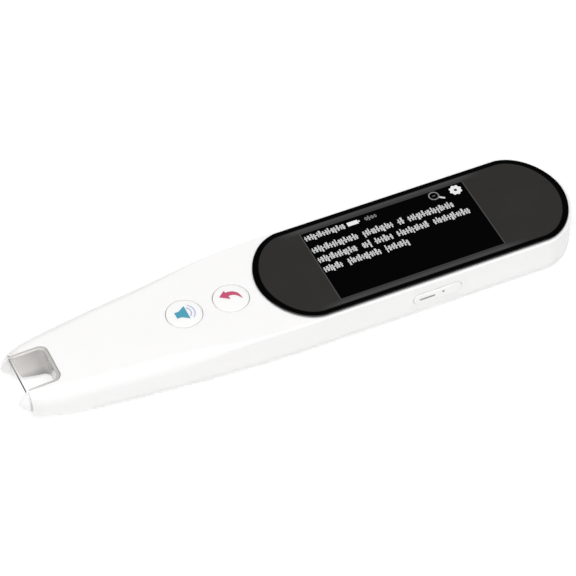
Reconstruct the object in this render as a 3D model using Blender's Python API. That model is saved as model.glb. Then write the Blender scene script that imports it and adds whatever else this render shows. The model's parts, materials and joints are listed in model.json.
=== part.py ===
"""A hand-held scanning pen, built as the separate pieces it comes apart into.

The pen lies on its back with the screen up. The origin is on the resting surface,
under the middle of the pen. +X runs to the tail, +Y to the side away from the
volume rocker, +Z up through the screen.
"""
import bpy
import bmesh
from math import cos, pi, radians, sin, tan
from mathutils import Matrix, Vector

mm = 0.001

# Clearances
seam = 0.3 * mm
overrun = 2.0 * mm
press_room = 0.15 * mm

# The body as a whole
body_width = 30.4 * mm
bottom_radius = 2.0 * mm
bottom_share = 0.33
lip_radius = 0.28 * mm
shoulder_radius = 3.0 * mm
shoulder_share = 0.52
end_power_share = 1.87

# How the body narrows and droops towards the tip
taper_length = 68.0 * mm
taper_power_share = 1.7
tip_width = 18.5 * mm
droop_start = 45.0 * mm
droop = 1.55 * mm
droop_power_share = 1.6
bow_length = 17.0 * mm
bow_rise = 5.2 * mm
bow_power_share = 2.0
nose_length = 2.65 * mm
nose_slope = radians(45.0)
nose_flat = 9.0 * mm
nose_corner = 10.0 * mm
nose_power_share = 2.5
shoulder_length = 26.0 * mm

# Walls of the two shells
side_wall = 1.3 * mm
roof_wall = 1.65 * mm
floor_wall = 1.2 * mm
parting_height = 2.0 * mm
tongue_wall = 0.8 * mm
tongue_height = 1.2 * mm
tip_floor_length = 16.5 * mm

# Screen glass, panel and frame
glass_length = 80.0 * mm
glass_to_side = 0.8 * mm
glass_end = 11.3 * mm
glass_thickness = 0.8 * mm
glass_proud = 0.45 * mm
glass_bevel = 0.3 * mm
glass_gap = 0.25 * mm
panel_setback = 15.15 * mm
panel_border = 1.5 * mm
panel_thickness = 1.4 * mm
panel_shift = 2.5 * mm
panel_glue = 0.3 * mm
frame_thickness = 0.5 * mm
frame_front_setback = 3.85 * mm
frame_rear_setback = 8.85 * mm
frame_inset = 0.5 * mm
frame_corner = 3.0 * mm
frame_rim = 2.6 * mm

# Round buttons on the top
button_radius = 4.3 * mm
button_proud = 0.06 * mm
button_crown = 0.12 * mm
crown_shares = (0.7, 0.35, 0)
button_edge = 0.25 * mm
button_flange = 0.8 * mm
button_flange_thickness = 0.7 * mm
button_stem_radius = 1.2 * mm
button_stem = 0.25 * mm
button_travel = 0.35 * mm
button_gap = 1.65 * mm
button_to_screen = 1.75 * mm
read_button_to_seam = 41.25 * mm

# Push switches
switch_size = 5.2 * mm
switch_body = 1.4 * mm
switch_plunger_radius = 1.0 * mm
switch_plunger = 0.3 * mm

# Volume rocker on the near side
rocker_length = 12.5 * mm
rocker_height = 3.0 * mm
rocker_proud = 0.35 * mm
rocker_edge = 0.25 * mm
rocker_flange = 1.0 * mm
rocker_flange_room = 0.45 * mm
rocker_flange_thickness = 0.6 * mm
rocker_from_glass_centre = 0.55 * mm
rocker_push_arm = 4.2 * mm
rocker_push_size = 1.0 * mm
rocker_push = 0.25 * mm
side_switch_length = 3.0 * mm
side_switch_depth = 0.9 * mm
side_switch_height = 2.6 * mm
side_switch_plunger = 0.2 * mm
side_switch_gap = 0.45 * mm
side_board_length = 16.0 * mm
side_board_thickness = 0.6 * mm
side_board_headroom = 1.6 * mm
side_post = 1.2 * mm
side_post_height = 3.0 * mm

# Notch in the tip, its window liner and the guide bar across it
notch_width = 11.6 * mm
notch_depth = 8.7 * mm
notch_lean = 0.9 * mm
notch_corner = 2.0 * mm
liner_rim = 0.5 * mm
liner_bevel = 0.4 * mm
liner_foot_opening = 8.7 * mm
liner_rear_wall = 0.5 * mm
liner_rear_foot = 0.35 * mm
liner_inner_corner = 1.6 * mm
liner_foot_corner = 1.5 * mm
liner_rake = 2.2 * mm
bar_width = 0.4 * mm
bar_height = 1.3 * mm
bar_drop = 0.35 * mm

# Nib that is pressed on the page
nib_travel = 0.35 * mm
nib_side_room = 0.35 * mm
nib_roof_room = 0.45 * mm
nib_arm_lift = 0.5 * mm
nib_bridge = 1.3 * mm
nib_bridge_height = 1.3 * mm
nib_bridge_setback = 1.4 * mm
nib_root = 0.6 * mm
nib_leg_inset = 0.1 * mm
tip_switch_width = 3.5 * mm
tip_switch_length = 2.2 * mm
tip_switch_height = 1.6 * mm
tip_plunger_radius = 0.5 * mm
tip_plunger = 0.3 * mm

# Camera behind the window
camera_behind_notch = 8.3 * mm
camera_lift = 0.3 * mm
camera_tilt = radians(10.0)
holder_width = 9.0 * mm
holder_depth = 3.0 * mm
holder_headroom = 0.4 * mm
barrel_radius = 1.4 * mm
barrel_length = 3.2 * mm
barrel_bore = 0.8 * mm
barrel_reach = 0.9 * mm
lens_radius = 1.1 * mm
lens_thickness = 0.5 * mm
sensor_size = 2.1 * mm
sensor_thickness = 0.35 * mm
sensor_board_thickness = 0.6 * mm
led_size = 1.6 * mm
led_thickness = 0.8 * mm
led_spacing = 6.8 * mm

# Main board in the front half
board_thickness = 0.8 * mm
board_side_room = 1.3 * mm
board_to_sensor = 1.2 * mm
board_to_frame = 0.75 * mm
board_corner = 1.2 * mm
processor_size = 9.0 * mm
processor_thickness = 1.0 * mm
processor_place = 9.5 * mm
memory_length = 8.0 * mm
memory_width = 6.0 * mm
memory_thickness = 0.9 * mm
memory_place = 12.5 * mm
shield_length = 9.0 * mm
shield_width = 7.5 * mm
shield_floor_room = 0.6 * mm
shield_place = 26.0 * mm
power_chip_size = 3.0 * mm
power_chip_thickness = 0.8 * mm
power_chip_place = 26.0 * mm

# Battery, speaker and tail board
battery_behind_panel = 0.5 * mm
battery_side_room = 0.6 * mm
battery_thickness = 5.2 * mm
battery_headroom = 0.5 * mm
battery_edge = 1.2 * mm
stop_thickness = 0.8 * mm
stop_width = 12.0 * mm
stop_height = 2.2 * mm
speaker_length = 12.6 * mm
speaker_width = 11.0 * mm
speaker_thickness = 3.5 * mm
speaker_corner = 2.0 * mm
speaker_cup = 1.0 * mm
speaker_cup_inset = 1.2 * mm
grille_slots = 6
grille_pitch = 1.7 * mm
grille_slot_width = 0.8 * mm
grille_slot_length = 7.0 * mm
tail_board_length = 8.6 * mm
tail_board_width = 12.0 * mm
tail_board_setback = 4.75 * mm
usb_length = 7.4 * mm
usb_width = 8.94 * mm
usb_height = 3.2 * mm
usb_wall = 0.3 * mm
usb_tongue_width = 6.6 * mm
usb_tongue_thickness = 0.7 * mm
usb_tongue_length = 5.0 * mm
usb_setback = 1.1 * mm

# Flat cables
flex_thickness = 0.3 * mm
screen_flex_width = 9.0 * mm
screen_flex_overlap = 4.0 * mm
camera_flex_width = 5.0 * mm
camera_flex_overlap = 4.0 * mm
tail_flex_height = 2.4 * mm
tail_flex_overlap = 5.0 * mm
tail_flex_turn = 2.4 * mm

# Bosses and screws
boss_radius = 1.7 * mm
bore_radius = 1.0 * mm
shank_radius = 0.7 * mm
head_radius = 1.3 * mm
head_height = 0.8 * mm
head_top_share = 0.6
board_screw_length = 3.1 * mm
frame_screw_length = 1.7 * mm
board_screw_inset = 2.6 * mm
board_screw_edge = 2.6 * mm
frame_screw_edge = 4.9 * mm
frame_screw_inset = 2.6 * mm

# Facets
corner_steps = 5
nose_steps = 5
taper_steps = 11
tail_steps = 11
fillet_steps = 4
round_sides = 32
small_sides = 16
smooth_angle = radians(35.0)

# Places along and across the body
half_width = body_width / 2
glass_width = body_width - 2 * glass_to_side
tail_end = glass_end + glass_to_side
flange_radius = button_radius + button_flange
button_pitch = 2 * flange_radius + button_gap
read_from_toe = nose_length + read_button_to_seam
glass_from_toe = read_from_toe + button_pitch + flange_radius + button_to_screen
body_length = glass_from_toe + glass_length + glass_to_side
toe_x = -body_length / 2
tail_x = body_length / 2
tail_centre_x = tail_x - tail_end
seam_x = toe_x + nose_length
taper_x = seam_x + taper_length
droop_x = seam_x + droop_start
bow_x = toe_x + bow_length
read_x = toe_x + read_from_toe
back_x = read_x + button_pitch
glass_x = toe_x + glass_from_toe + glass_length / 2
panel_x = glass_x - panel_shift
panel_length = glass_length - 2 * panel_setback
panel_start = panel_x - panel_length / 2
rocker_x = glass_x - rocker_from_glass_centre

# The stack through the screen, from the table up
inner_floor = floor_wall + seam
frame_bottom = inner_floor + battery_thickness + battery_headroom
frame_top = frame_bottom + frame_thickness
panel_bottom = frame_top + seam
panel_top = panel_bottom + panel_thickness
glass_bottom = panel_top + panel_glue
glass_top = glass_bottom + glass_thickness
shell_height = glass_top - glass_proud
recess_floor = glass_bottom - seam
ceiling = shell_height - roof_wall
tongue_top = parting_height + tongue_height


def side_at(x):
    """Half the body's width at x, ahead of the tail."""
    reach = max(0, (taper_x - x) / (taper_x - seam_x))
    return half_width - (half_width - tip_width / 2) * reach ** taper_power_share


def top_at(x):
    """Height of the body's top face at x."""
    if x >= droop_x:
        return shell_height
    if x >= seam_x:
        return shell_height - droop * ((droop_x - x) / (droop_x - seam_x)) ** droop_power_share
    return shell_height - droop - (seam_x - x) * tan(nose_slope)


def floor_at(x):
    """Height of the body's underside at x."""
    reach = min(1, max(0, (bow_x - x) / bow_length))
    return bow_rise * (1 - (1 - reach ** bow_power_share) ** (1 / bow_power_share))


def shoulder_at(x):
    """Radius of the top edge: a fine lip beside the screen, a soft shoulder ahead of it."""
    reach = min(1, max(0, (droop_x + shoulder_length / 2 - x) / shoulder_length))
    blend = reach * reach * (3 - 2 * reach)
    return lip_radius + (shoulder_radius - lip_radius) * blend


def plan_half(x):
    """Half the body's width at x, with the round corners of the nose."""
    reach = min(1, max(0, (toe_x + nose_corner - x) / nose_corner))
    turn = (1 - reach ** nose_power_share) ** (1 / nose_power_share)
    return nose_flat / 2 + (side_at(x) - nose_flat / 2) * turn


# Places of the pieces at the tip
notch_x = seam_x + notch_depth
shell_front = seam_x + seam
nib_back = shell_front - seam - nib_travel
tip_floor_x = toe_x + tip_floor_length
holder_x = notch_x + camera_behind_notch
holder_top = top_at(holder_x) - roof_wall - holder_headroom
camera_level = (inner_floor + holder_top) / 2 + camera_lift
sensor_board_x = holder_x + holder_depth + seam

# Places of the pieces under the keys
flange_top = top_at(read_x - flange_radius) - roof_wall - seam
flange_bottom = flange_top - button_flange_thickness
stem_bottom = flange_bottom - button_stem
plunger_top = stem_bottom - button_travel - press_room
switch_top = plunger_top - switch_plunger
switch_bottom = switch_top - switch_body
board_top = switch_bottom - seam
board_bottom = board_top - board_thickness

# Places of the pieces under the screen
panel_width = glass_width - 2 * panel_border
frame_width = panel_width - 2 * frame_inset
frame_start = glass_x - glass_length / 2 + frame_front_setback
frame_end = glass_x + glass_length / 2 - frame_rear_setback
rocker_level = (tongue_top + ceiling) / 2
rocker_flange_height = (ceiling - tongue_top - rocker_height) / 2 - rocker_flange_room
rocker_back = half_width - side_wall - seam - rocker_flange_thickness
side_plunger_y = -(rocker_back - rocker_push - side_switch_gap)
side_board_y = side_plunger_y + side_switch_plunger + side_switch_depth + seam
tail_board_start = tail_x - tail_board_setback - tail_board_length
tail_board_top = inner_floor + board_thickness
speaker_end = tail_board_start - seam
speaker_start = speaker_end - speaker_length
battery_start = panel_start + battery_behind_panel
battery_end = speaker_start - seam - stop_thickness - seam
battery_width = -2 * (side_board_y + side_board_thickness + battery_side_room)
usb_bottom = tail_board_top + seam
usb_level = usb_bottom + usb_height / 2
usb_end = tail_x - usb_setback
usb_start = usb_end - usb_length
board_start = sensor_board_x + sensor_board_thickness + board_to_sensor
board_end = frame_start - board_to_frame
board_width = 2 * (side_at(board_start) - side_wall - board_side_room)

white_shell = ((0.93, 0.93, 0.92), 0.28, 0.0)
white_key = ((0.95, 0.95, 0.94), 0.3, 0.0)
black_glass = ((0.01, 0.01, 0.012), 0.06, 0.0)
panel_grey = ((0.08, 0.08, 0.09), 0.35, 0.0)
steel = ((0.6, 0.6, 0.62), 0.35, 1.0)
smoke = ((0.55, 0.53, 0.5), 0.15, 0.0)
black_plastic = ((0.02, 0.02, 0.022), 0.4, 0.0)
board_green = ((0.03, 0.16, 0.08), 0.45, 0.0)
flex_amber = ((0.5, 0.24, 0.04), 0.4, 0.0)
cell_silver = ((0.7, 0.71, 0.73), 0.3, 0.6)
lens_glass = ((0.05, 0.06, 0.12), 0.05, 0.0)
led_yellow = ((0.9, 0.85, 0.5), 0.3, 0.0)


def clear_scene():
    """Leaves nothing of an earlier scene."""
    for old in list(bpy.data.objects):
        bpy.data.objects.remove(old, do_unlink=True)
    for old in list(bpy.data.meshes):
        bpy.data.meshes.remove(old)


def material(name, look):
    """One plain material from a colour, a roughness and a metallic value."""
    colour, roughness, metallic = look
    made = bpy.data.materials.new(name)
    made.use_nodes = True
    shader = made.node_tree.nodes["Principled BSDF"]
    shader.inputs["Base Color"].default_value = (*colour, 1.0)
    shader.inputs["Roughness"].default_value = roughness
    shader.inputs["Metallic"].default_value = metallic
    made.diffuse_color = (*colour, 1.0)
    return made


def add(name, form, look, origin=(0, 0, 0)):
    """Makes a named object of a form, with its origin at the given point."""
    place = Vector(origin)
    bmesh.ops.translate(form, verts=form.verts, vec=-place)
    bmesh.ops.recalc_face_normals(form, faces=form.faces)
    mesh = bpy.data.meshes.new(name)
    form.to_mesh(mesh)
    form.free()
    mesh.shade_smooth()
    mesh.set_sharp_from_angle(angle=smooth_angle)
    shape = bpy.data.objects.new(name, mesh)
    shape.location = place
    bpy.context.scene.collection.objects.link(shape)
    if look:
        mesh.materials.append(material(name, look))
    return shape


def tool(name, form):
    """A form that only cuts, fills or trims another piece."""
    shape = add(name, form, None)
    shape.hide_render = True
    shape.display_type = "WIRE"
    return shape


def apply_tools(shape, operation, tools):
    """Adds one Boolean for each tool."""
    for each in tools:
        change = shape.modifiers.new(each.name, "BOOLEAN")
        change.operation = operation
        change.solver = "EXACT"
        change.object = each
    return shape


def cut(shape, *tools):
    """Takes the tools out of a piece."""
    return apply_tools(shape, "DIFFERENCE", tools)


def fill(shape, *tools):
    """Adds the tools to a piece."""
    return apply_tools(shape, "UNION", tools)


def trim(shape, *tools):
    """Keeps only what lies inside each tool."""
    return apply_tools(shape, "INTERSECT", tools)


def block(low, high):
    """A box between two corners."""
    form = bmesh.new()
    low, high = Vector(low), Vector(high)
    middle = Matrix.Translation((low + high) / 2)
    bmesh.ops.create_cube(form, size=1, matrix=middle @ Matrix.Diagonal((*(high - low), 1)))
    return form


def rod(start, end, radius, sides=small_sides):
    """A round bar from one point to another."""
    form = bmesh.new()
    start, end = Vector(start), Vector(end)
    along = end - start
    turn = Vector((0, 0, 1)).rotation_difference(along).to_matrix().to_4x4()
    place = Matrix.Translation((start + end) / 2) @ turn
    bmesh.ops.create_cone(form, cap_ends=True, segments=sides, radius1=radius, radius2=radius,
                          depth=along.length, matrix=place)
    return form


def turned(profile, centre, sides=round_sides):
    """A solid turned about a vertical axis; the profile starts and ends on the axis."""
    form = bmesh.new()
    line = [form.verts.new((radius, 0, height)) for radius, height in profile]
    edges = [form.edges.new(pair) for pair in zip(line, line[1:])]
    bmesh.ops.spin(form, geom=line + edges, cent=(0, 0, 0), axis=(0, 0, 1), angle=2 * pi, steps=sides,
                   use_merge=True)
    bmesh.ops.remove_doubles(form, verts=form.verts, dist=seam / 100)
    bmesh.ops.translate(form, verts=form.verts, vec=Vector(centre))
    return form


def slab(outline, low, high):
    """A flat outline raised between two heights."""
    form = bmesh.new()
    base = form.faces.new([form.verts.new((x, y, low)) for x, y in outline])
    raised = bmesh.ops.extrude_face_region(form, geom=[base])
    top = [item for item in raised["geom"] if isinstance(item, bmesh.types.BMVert)]
    bmesh.ops.translate(form, verts=top, vec=(0, 0, high - low))
    return form


def lofted(loops):
    """A closed solid through stacked loops with the same number of points, capped flat."""
    form = bmesh.new()
    rows = [[form.verts.new(point) for point in loop] for loop in loops]
    count = len(rows[0])
    for lower, upper in zip(rows, rows[1:]):
        for i in range(count):
            j = (i + 1) % count
            form.faces.new((lower[i], lower[j], upper[j], upper[i]))
    form.faces.new(rows[0][::-1])
    form.faces.new(rows[-1])
    return form


def rounded_outline(low, high, radius, steps=corner_steps):
    """A rectangle with round corners, counter-clockwise."""
    (x0, y0), (x1, y1) = low, high
    radius = min(radius, (x1 - x0) / 2, (y1 - y0) / 2)
    corners = ((x1 - radius, y1 - radius), (x0 + radius, y1 - radius),
               (x0 + radius, y0 + radius), (x1 - radius, y0 + radius))
    points = []
    for quarter, (x, y) in enumerate(corners):
        for step in range(steps + 1):
            angle = (quarter + step / steps) * pi / 2
            points.append((x + radius * cos(angle), y + radius * sin(angle)))
    return without_repeats(points)


def without_repeats(points):
    """Drops points that fall on the one before them."""
    kept = []
    for point in points:
        if not kept or (Vector(point) - Vector(kept[-1])).length > seam / 100:
            kept.append(point)
    if (Vector(kept[0]) - Vector(kept[-1])).length <= seam / 100:
        kept.pop()
    return kept


def pill_outline(centre_x, length, width, end, steps=tail_steps):
    """The screen's outline: straight sides and slightly pointed elliptic ends."""
    power = 2 / end_power_share
    quarter = []
    for step in range(steps + 1):
        angle = step / steps * pi / 2
        along = end * abs(cos(angle)) ** power
        across = width / 2 * abs(sin(angle)) ** power
        quarter.append((length / 2 - end + along, across))
    half = quarter + [(-x, y) for x, y in reversed(quarter)]
    whole = half + [(x, -y) for x, y in reversed(half)]
    return without_repeats([(centre_x + x, y) for x, y in whole])


def grown(outline, centre_x, length, amount):
    """An outline scaled about its centre so that it grows by one amount all round."""
    width = max(y for x, y in outline) - min(y for x, y in outline)
    wider = (width + 2 * amount) / width
    longer = (length + 2 * amount) / length
    return [(centre_x + (x - centre_x) * longer, y * wider) for x, y in outline]


def plan_side():
    """Points and outward normals of one long side, from the nose to the tail."""
    points = []
    corner_x = toe_x + nose_corner
    nudge = seam / 10
    for step in range(nose_steps):
        reach = cos(step / nose_steps * pi / 2) ** (2 / nose_power_share)
        x = corner_x - nose_corner * reach
        slope = (plan_half(x + nudge) - plan_half(x)) / nudge
        points.append((Vector((x, plan_half(x))), Vector((-slope, 1)) if step else Vector((-1, 0))))
    for step in range(taper_steps + 1):
        x = corner_x + (taper_x - corner_x) * step / taper_steps
        slope = (side_at(x + nudge) - side_at(x - nudge)) / (2 * nudge)
        points.append((Vector((x, side_at(x))), Vector((-slope, 1))))
    power = 2 / end_power_share
    for step in range(tail_steps):
        angle = (1 - step / (tail_steps - 0.5)) * pi / 2
        place = Vector((tail_centre_x + tail_end * cos(angle) ** power, half_width * sin(angle) ** power))
        normal = Vector((cos(angle) ** (2 - power) / tail_end, sin(angle) ** (2 - power) / half_width))
        points.append((place, normal))
    return [(place, normal.normalized()) for place, normal in points]


def body_form(inset, floor, roof, low_radius=None, high_radius=None):
    """The body's outer form, or one inside it: stacked outlines between two heights.

    floor and roof give the heights at x, low_radius and high_radius the rounding there.
    """
    side = plan_side()
    levels = []
    if low_radius:
        levels += [("low", step / fillet_steps * pi / 2) for step in range(fillet_steps + 1)]
    else:
        levels.append(("low", None))
    if high_radius:
        levels += [("high", step / fillet_steps * pi / 2) for step in range(fillet_steps + 1)]
    else:
        levels.append(("high", None))
    form = bmesh.new()
    rings = []
    for end, angle in levels:
        half = []
        for place, normal in side:
            x = place.x
            tall = roof(x) - floor(x)
            if end == "low":
                radius = min(low_radius(x), tall * bottom_share) if low_radius else 0
                back = radius * (1 - sin(angle)) if low_radius else 0
                lift = radius * (1 - cos(angle)) if low_radius else 0
                flat = place - normal * (inset + back)
                half.append((flat.x, flat.y, floor(flat.x) + lift))
            else:
                radius = min(high_radius(x), tall * shoulder_share) if high_radius else 0
                back = radius * (1 - cos(angle)) if high_radius else 0
                drop = radius * (1 - sin(angle)) if high_radius else 0
                flat = place - normal * (inset + back)
                half.append((flat.x, flat.y, roof(flat.x) - drop))
        far = [form.verts.new(point) for point in half]
        near = [form.verts.new((x, -y, z)) for x, y, z in half]
        rings.append((far, near))
    for (far0, near0), (far1, near1) in zip(rings, rings[1:]):
        loop0 = far0 + near0[::-1]
        loop1 = far1 + near1[::-1]
        for i in range(len(loop0)):
            j = (i + 1) % len(loop0)
            form.faces.new((loop0[i], loop0[j], loop1[j], loop1[i]))
    for far, near in (rings[0], rings[-1]):
        for i in range(len(far) - 1):
            form.faces.new((far[i], far[i + 1], near[i + 1], near[i]))
    return form


def whole_body(name):
    """The outside of the closed pen as a tool."""
    return tool(name, body_form(0, floor_at, top_at, lambda x: bottom_radius, shoulder_at))


def boss_places():
    """Where the main board and the screen frame are screwed to the upper shell."""
    board_y = board_width / 2 - board_screw_edge
    frame_y = frame_width / 2 - frame_screw_edge
    board = [(x, side * board_y)
             for x in (board_start + board_screw_inset, board_end - board_screw_inset) for side in (-1, 1)]
    frame = [(x, side * frame_y)
             for x in (frame_start + frame_screw_inset, frame_end - frame_screw_inset) for side in (-1, 1)]
    return board, frame


def notch_rear(height):
    """Where the rear of the notch is at a height: it leans back towards the underside."""
    top, base = top_at(notch_x), floor_at(notch_x)
    return notch_x + notch_lean * (top - height) / (top - base)


def notch_form(inset_low, inset_high, corner_low, corner_high):
    """The notch as a form; the insets are (side, rear) at the underside and at the top face."""
    low, base, top, high = -overrun, floor_at(notch_x), top_at(notch_x), shell_height + overrun
    loops = []
    for height, (side, rear), corner in ((low, inset_low, corner_low), (base, inset_low, corner_low),
                                         (top, inset_high, corner_high), (high, inset_high, corner_high)):
        half = notch_width / 2 - side
        outline = rounded_outline((toe_x - overrun, -half), (notch_rear(height) - rear, half), corner)
        loops.append([(x, y, height) for x, y in outline])
    return lofted(loops)


def upper_shell():
    """The white top and sides, and the closed ring of the tip."""
    shape = add("upper_shell", body_form(0, floor_at, top_at, lambda x: bottom_radius, shoulder_at), white_shell)
    hollow = tool("cut_upper_hollow", body_form(side_wall, lambda x: floor_at(x) + side_wall,
                                                lambda x: top_at(x) - roof_wall))
    under = tool("cut_upper_under", block((tip_floor_x, -body_width, -overrun),
                                          (tail_x + overrun, body_width, parting_height + seam / 2)))
    nose = tool("cut_upper_nose", block((toe_x - overrun, -body_width, -overrun),
                                        (shell_front, body_width, shell_height + overrun)))
    cut(shape, hollow, under, nose)

    board_bosses, frame_bosses = boss_places()
    board_boss_end = board_top + seam
    frame_boss_end = frame_top + seam
    for number, (x, y) in enumerate(board_bosses):
        fill(shape, tool(f"board_boss_{number}", rod((x, y, board_boss_end),
                                                     (x, y, top_at(x) - roof_wall / 2), boss_radius)))
    for number, (x, y) in enumerate(frame_bosses):
        fill(shape, tool(f"frame_boss_{number}", rod((x, y, frame_boss_end),
                                                     (x, y, recess_floor - seam), boss_radius)))

    outline = pill_outline(glass_x, glass_length, glass_width, glass_end)
    recess = tool("cut_glass_recess", slab(grown(outline, glass_x, glass_length, glass_gap),
                                           recess_floor, glass_top + overrun))
    window = tool("cut_panel_window", slab(rounded_outline(
        (panel_x - panel_length / 2 - seam, -panel_width / 2 - seam),
        (panel_x + panel_length / 2 + seam, panel_width / 2 + seam), lip_radius),
        ceiling - overrun, recess_floor + overrun))
    flex_slot = tool("cut_flex_slot", block(
        (panel_start - seam - flex_thickness - seam, -screen_flex_width / 2 - seam, ceiling - overrun),
        (panel_start + seam, screen_flex_width / 2 + seam, recess_floor + overrun)))
    notch = tool("cut_notch", notch_form((0, 0), (0, 0), notch_corner, notch_corner))
    cut(shape, recess, window, flex_slot, notch)
    for name, x in (("read", read_x), ("back", back_x)):
        cut(shape, tool(f"cut_{name}_hole", rod((x, 0, ceiling - overrun), (x, 0, shell_height + overrun),
                                                button_radius + seam, round_sides)))

    slot = slab(rounded_outline((rocker_x - rocker_length / 2 - seam, rocker_level - rocker_height / 2 - seam),
                                (rocker_x + rocker_length / 2 + seam, rocker_level + rocker_height / 2 + seam),
                                rocker_height / 2 + seam),
                half_width - side_wall - overrun / 2, half_width + overrun)
    bmesh.ops.transform(slot, matrix=Matrix.Rotation(pi / 2, 4, "X"), verts=slot.verts)
    cut(shape, tool("cut_rocker_slot", slot))
    cut(shape, tool("cut_usb_slot", usb_outline(usb_end - side_wall, tail_x + overrun, seam)))

    for number, (x, y) in enumerate(board_bosses):
        cut(shape, tool(f"cut_board_bore_{number}", rod((x, y, board_boss_end - overrun),
                                                        (x, y, board_boss_end + board_screw_length), bore_radius)))
    for number, (x, y) in enumerate(frame_bosses):
        cut(shape, tool(f"cut_frame_bore_{number}", rod((x, y, frame_boss_end - overrun),
                                                        (x, y, recess_floor - 2 * seam), bore_radius)))
    return shape


def lower_shell():
    """The shallow tray that closes the back, with its tongue, battery stops and speaker grille."""
    shape = add("lower_shell", body_form(0, floor_at, top_at, lambda x: bottom_radius, shoulder_at), white_shell)
    above = tool("cut_lower_above", block((toe_x - overrun, -body_width, parting_height - seam / 2),
                                          (tail_x + overrun, body_width, shell_height + overrun)))
    cut(shape, above)
    tongue_inset = side_wall + seam
    fill(shape, tool("tongue", body_form(tongue_inset, lambda x: floor_at(x) + floor_wall / 2,
                                         lambda x: tongue_top)))
    hollow = tool("cut_lower_hollow", body_form(tongue_inset + tongue_wall,
                                                lambda x: floor_at(x) + floor_wall,
                                                lambda x: shell_height + overrun))
    front = tool("cut_lower_front", block((toe_x - overrun, -body_width, -overrun),
                                          (tip_floor_x + seam, body_width, shell_height)))
    usb_pass = tool("cut_lower_usb", block(
        (usb_start, -usb_width / 2 - seam, tail_board_top),
        (tail_x - side_wall - seam / 2, usb_width / 2 + seam, tongue_top + overrun)))
    cut(shape, hollow, front, usb_pass)

    stop_base = floor_wall / 2
    for name, x in (("front", battery_start - seam - stop_thickness), ("rear", battery_end + seam)):
        fill(shape, tool(f"battery_stop_{name}", block((x, -stop_width / 2, stop_base),
                                                       (x + stop_thickness, stop_width / 2, floor_wall + stop_height))))
    for name, x in (("front", rocker_x - side_board_length / 2 - seam - side_post),
                    ("rear", rocker_x + side_board_length / 2 + seam)):
        fill(shape, tool(f"side_post_{name}", block((x, side_board_y - side_board_thickness, stop_base),
                                                    (x + side_post, side_board_y + side_board_thickness,
                                                     floor_wall + side_post_height))))
    grille_x = (speaker_start + speaker_end) / 2
    for number in range(grille_slots):
        x = grille_x + (number - (grille_slots - 1) / 2) * grille_pitch
        outline = rounded_outline((x - grille_slot_width / 2, -grille_slot_length / 2),
                                  (x + grille_slot_width / 2, grille_slot_length / 2), grille_slot_width / 2)
        cut(shape, tool(f"cut_grille_{number}", slab(outline, -overrun, floor_wall + seam)))
    return shape


def screen():
    """Black cover glass, the panel behind it and the frame that carries the panel."""
    outline = pill_outline(glass_x, glass_length, glass_width, glass_end)
    levels = ((0, glass_bottom), (0, glass_top - glass_bevel),
              (-glass_bevel * (1 - cos(pi / 4)), glass_top - glass_bevel * (1 - sin(pi / 4))),
              (-glass_bevel, glass_top))
    loops = [[(x, y, z) for x, y in grown(outline, glass_x, glass_length, amount)] for amount, z in levels]
    add("touch_glass", lofted(loops), black_glass)

    low = (panel_x - panel_length / 2, -panel_width / 2)
    high = (panel_x + panel_length / 2, panel_width / 2)
    add("lcd_panel", slab(rounded_outline(low, high, lip_radius), panel_bottom, panel_top), panel_grey)

    frame = add("display_frame", slab(rounded_outline((frame_start, -frame_width / 2),
                                                      (frame_end, frame_width / 2), frame_corner),
                                      frame_bottom, frame_top), steel)
    flex_window = tool("cut_frame_flex", block(
        (panel_start - flex_thickness * 6, -screen_flex_width / 2 - seam,
         frame_bottom - overrun),
        (panel_start + flex_thickness * 3, screen_flex_width / 2 + seam, frame_top + overrun)))
    lightening = tool("cut_frame_middle", slab(rounded_outline(
        (low[0] + frame_rim + frame_corner, low[1] + frame_rim), (high[0] - frame_rim, high[1] - frame_rim),
        frame_corner), frame_bottom - overrun, frame_top + overrun))
    cut(frame, flex_window, lightening)
    for number, (x, y) in enumerate(boss_places()[1]):
        cut(frame, tool(f"cut_frame_hole_{number}", rod((x, y, frame_bottom - overrun),
                                                        (x, y, frame_top + overrun), bore_radius)))


def button(name, x):
    """A round key: a crowned cap, the flange that keeps it in, and its stem."""
    top = top_at(x) + button_proud
    profile = [(0, stem_bottom), (button_stem_radius, stem_bottom), (button_stem_radius, flange_bottom),
               (flange_radius, flange_bottom), (flange_radius, flange_top),
               (button_radius, flange_top), (button_radius, top - button_edge),
               (button_radius - button_edge * (1 - cos(pi / 4)), top - button_edge * (1 - sin(pi / 4))),
               (button_radius - button_edge, top)]
    for share in crown_shares:
        profile.append(((button_radius - button_edge) * share, top + button_crown * (1 - share ** 2)))
    place = (x, 0, top)
    add(name, turned(profile, (x, 0, 0)), white_key, place)


def push_switch(name, x):
    """The small push switch under a key, soldered to the main board."""
    body = block((x - switch_size / 2, -switch_size / 2, switch_bottom), (x + switch_size / 2, switch_size / 2,
                                                                          switch_top))
    shape = add(name, body, black_plastic)
    fill(shape, tool(f"{name}_plunger", rod((x, 0, switch_top - switch_plunger), (x, 0, plunger_top),
                                            switch_plunger_radius)))


def on_side(outline, outer, inner):
    """An outline in x and z raised on the near side, between two distances from the middle."""
    form = slab(outline, inner, outer)
    bmesh.ops.transform(form, matrix=Matrix.Rotation(pi / 2, 4, "X"), verts=form.verts)
    return form


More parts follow.
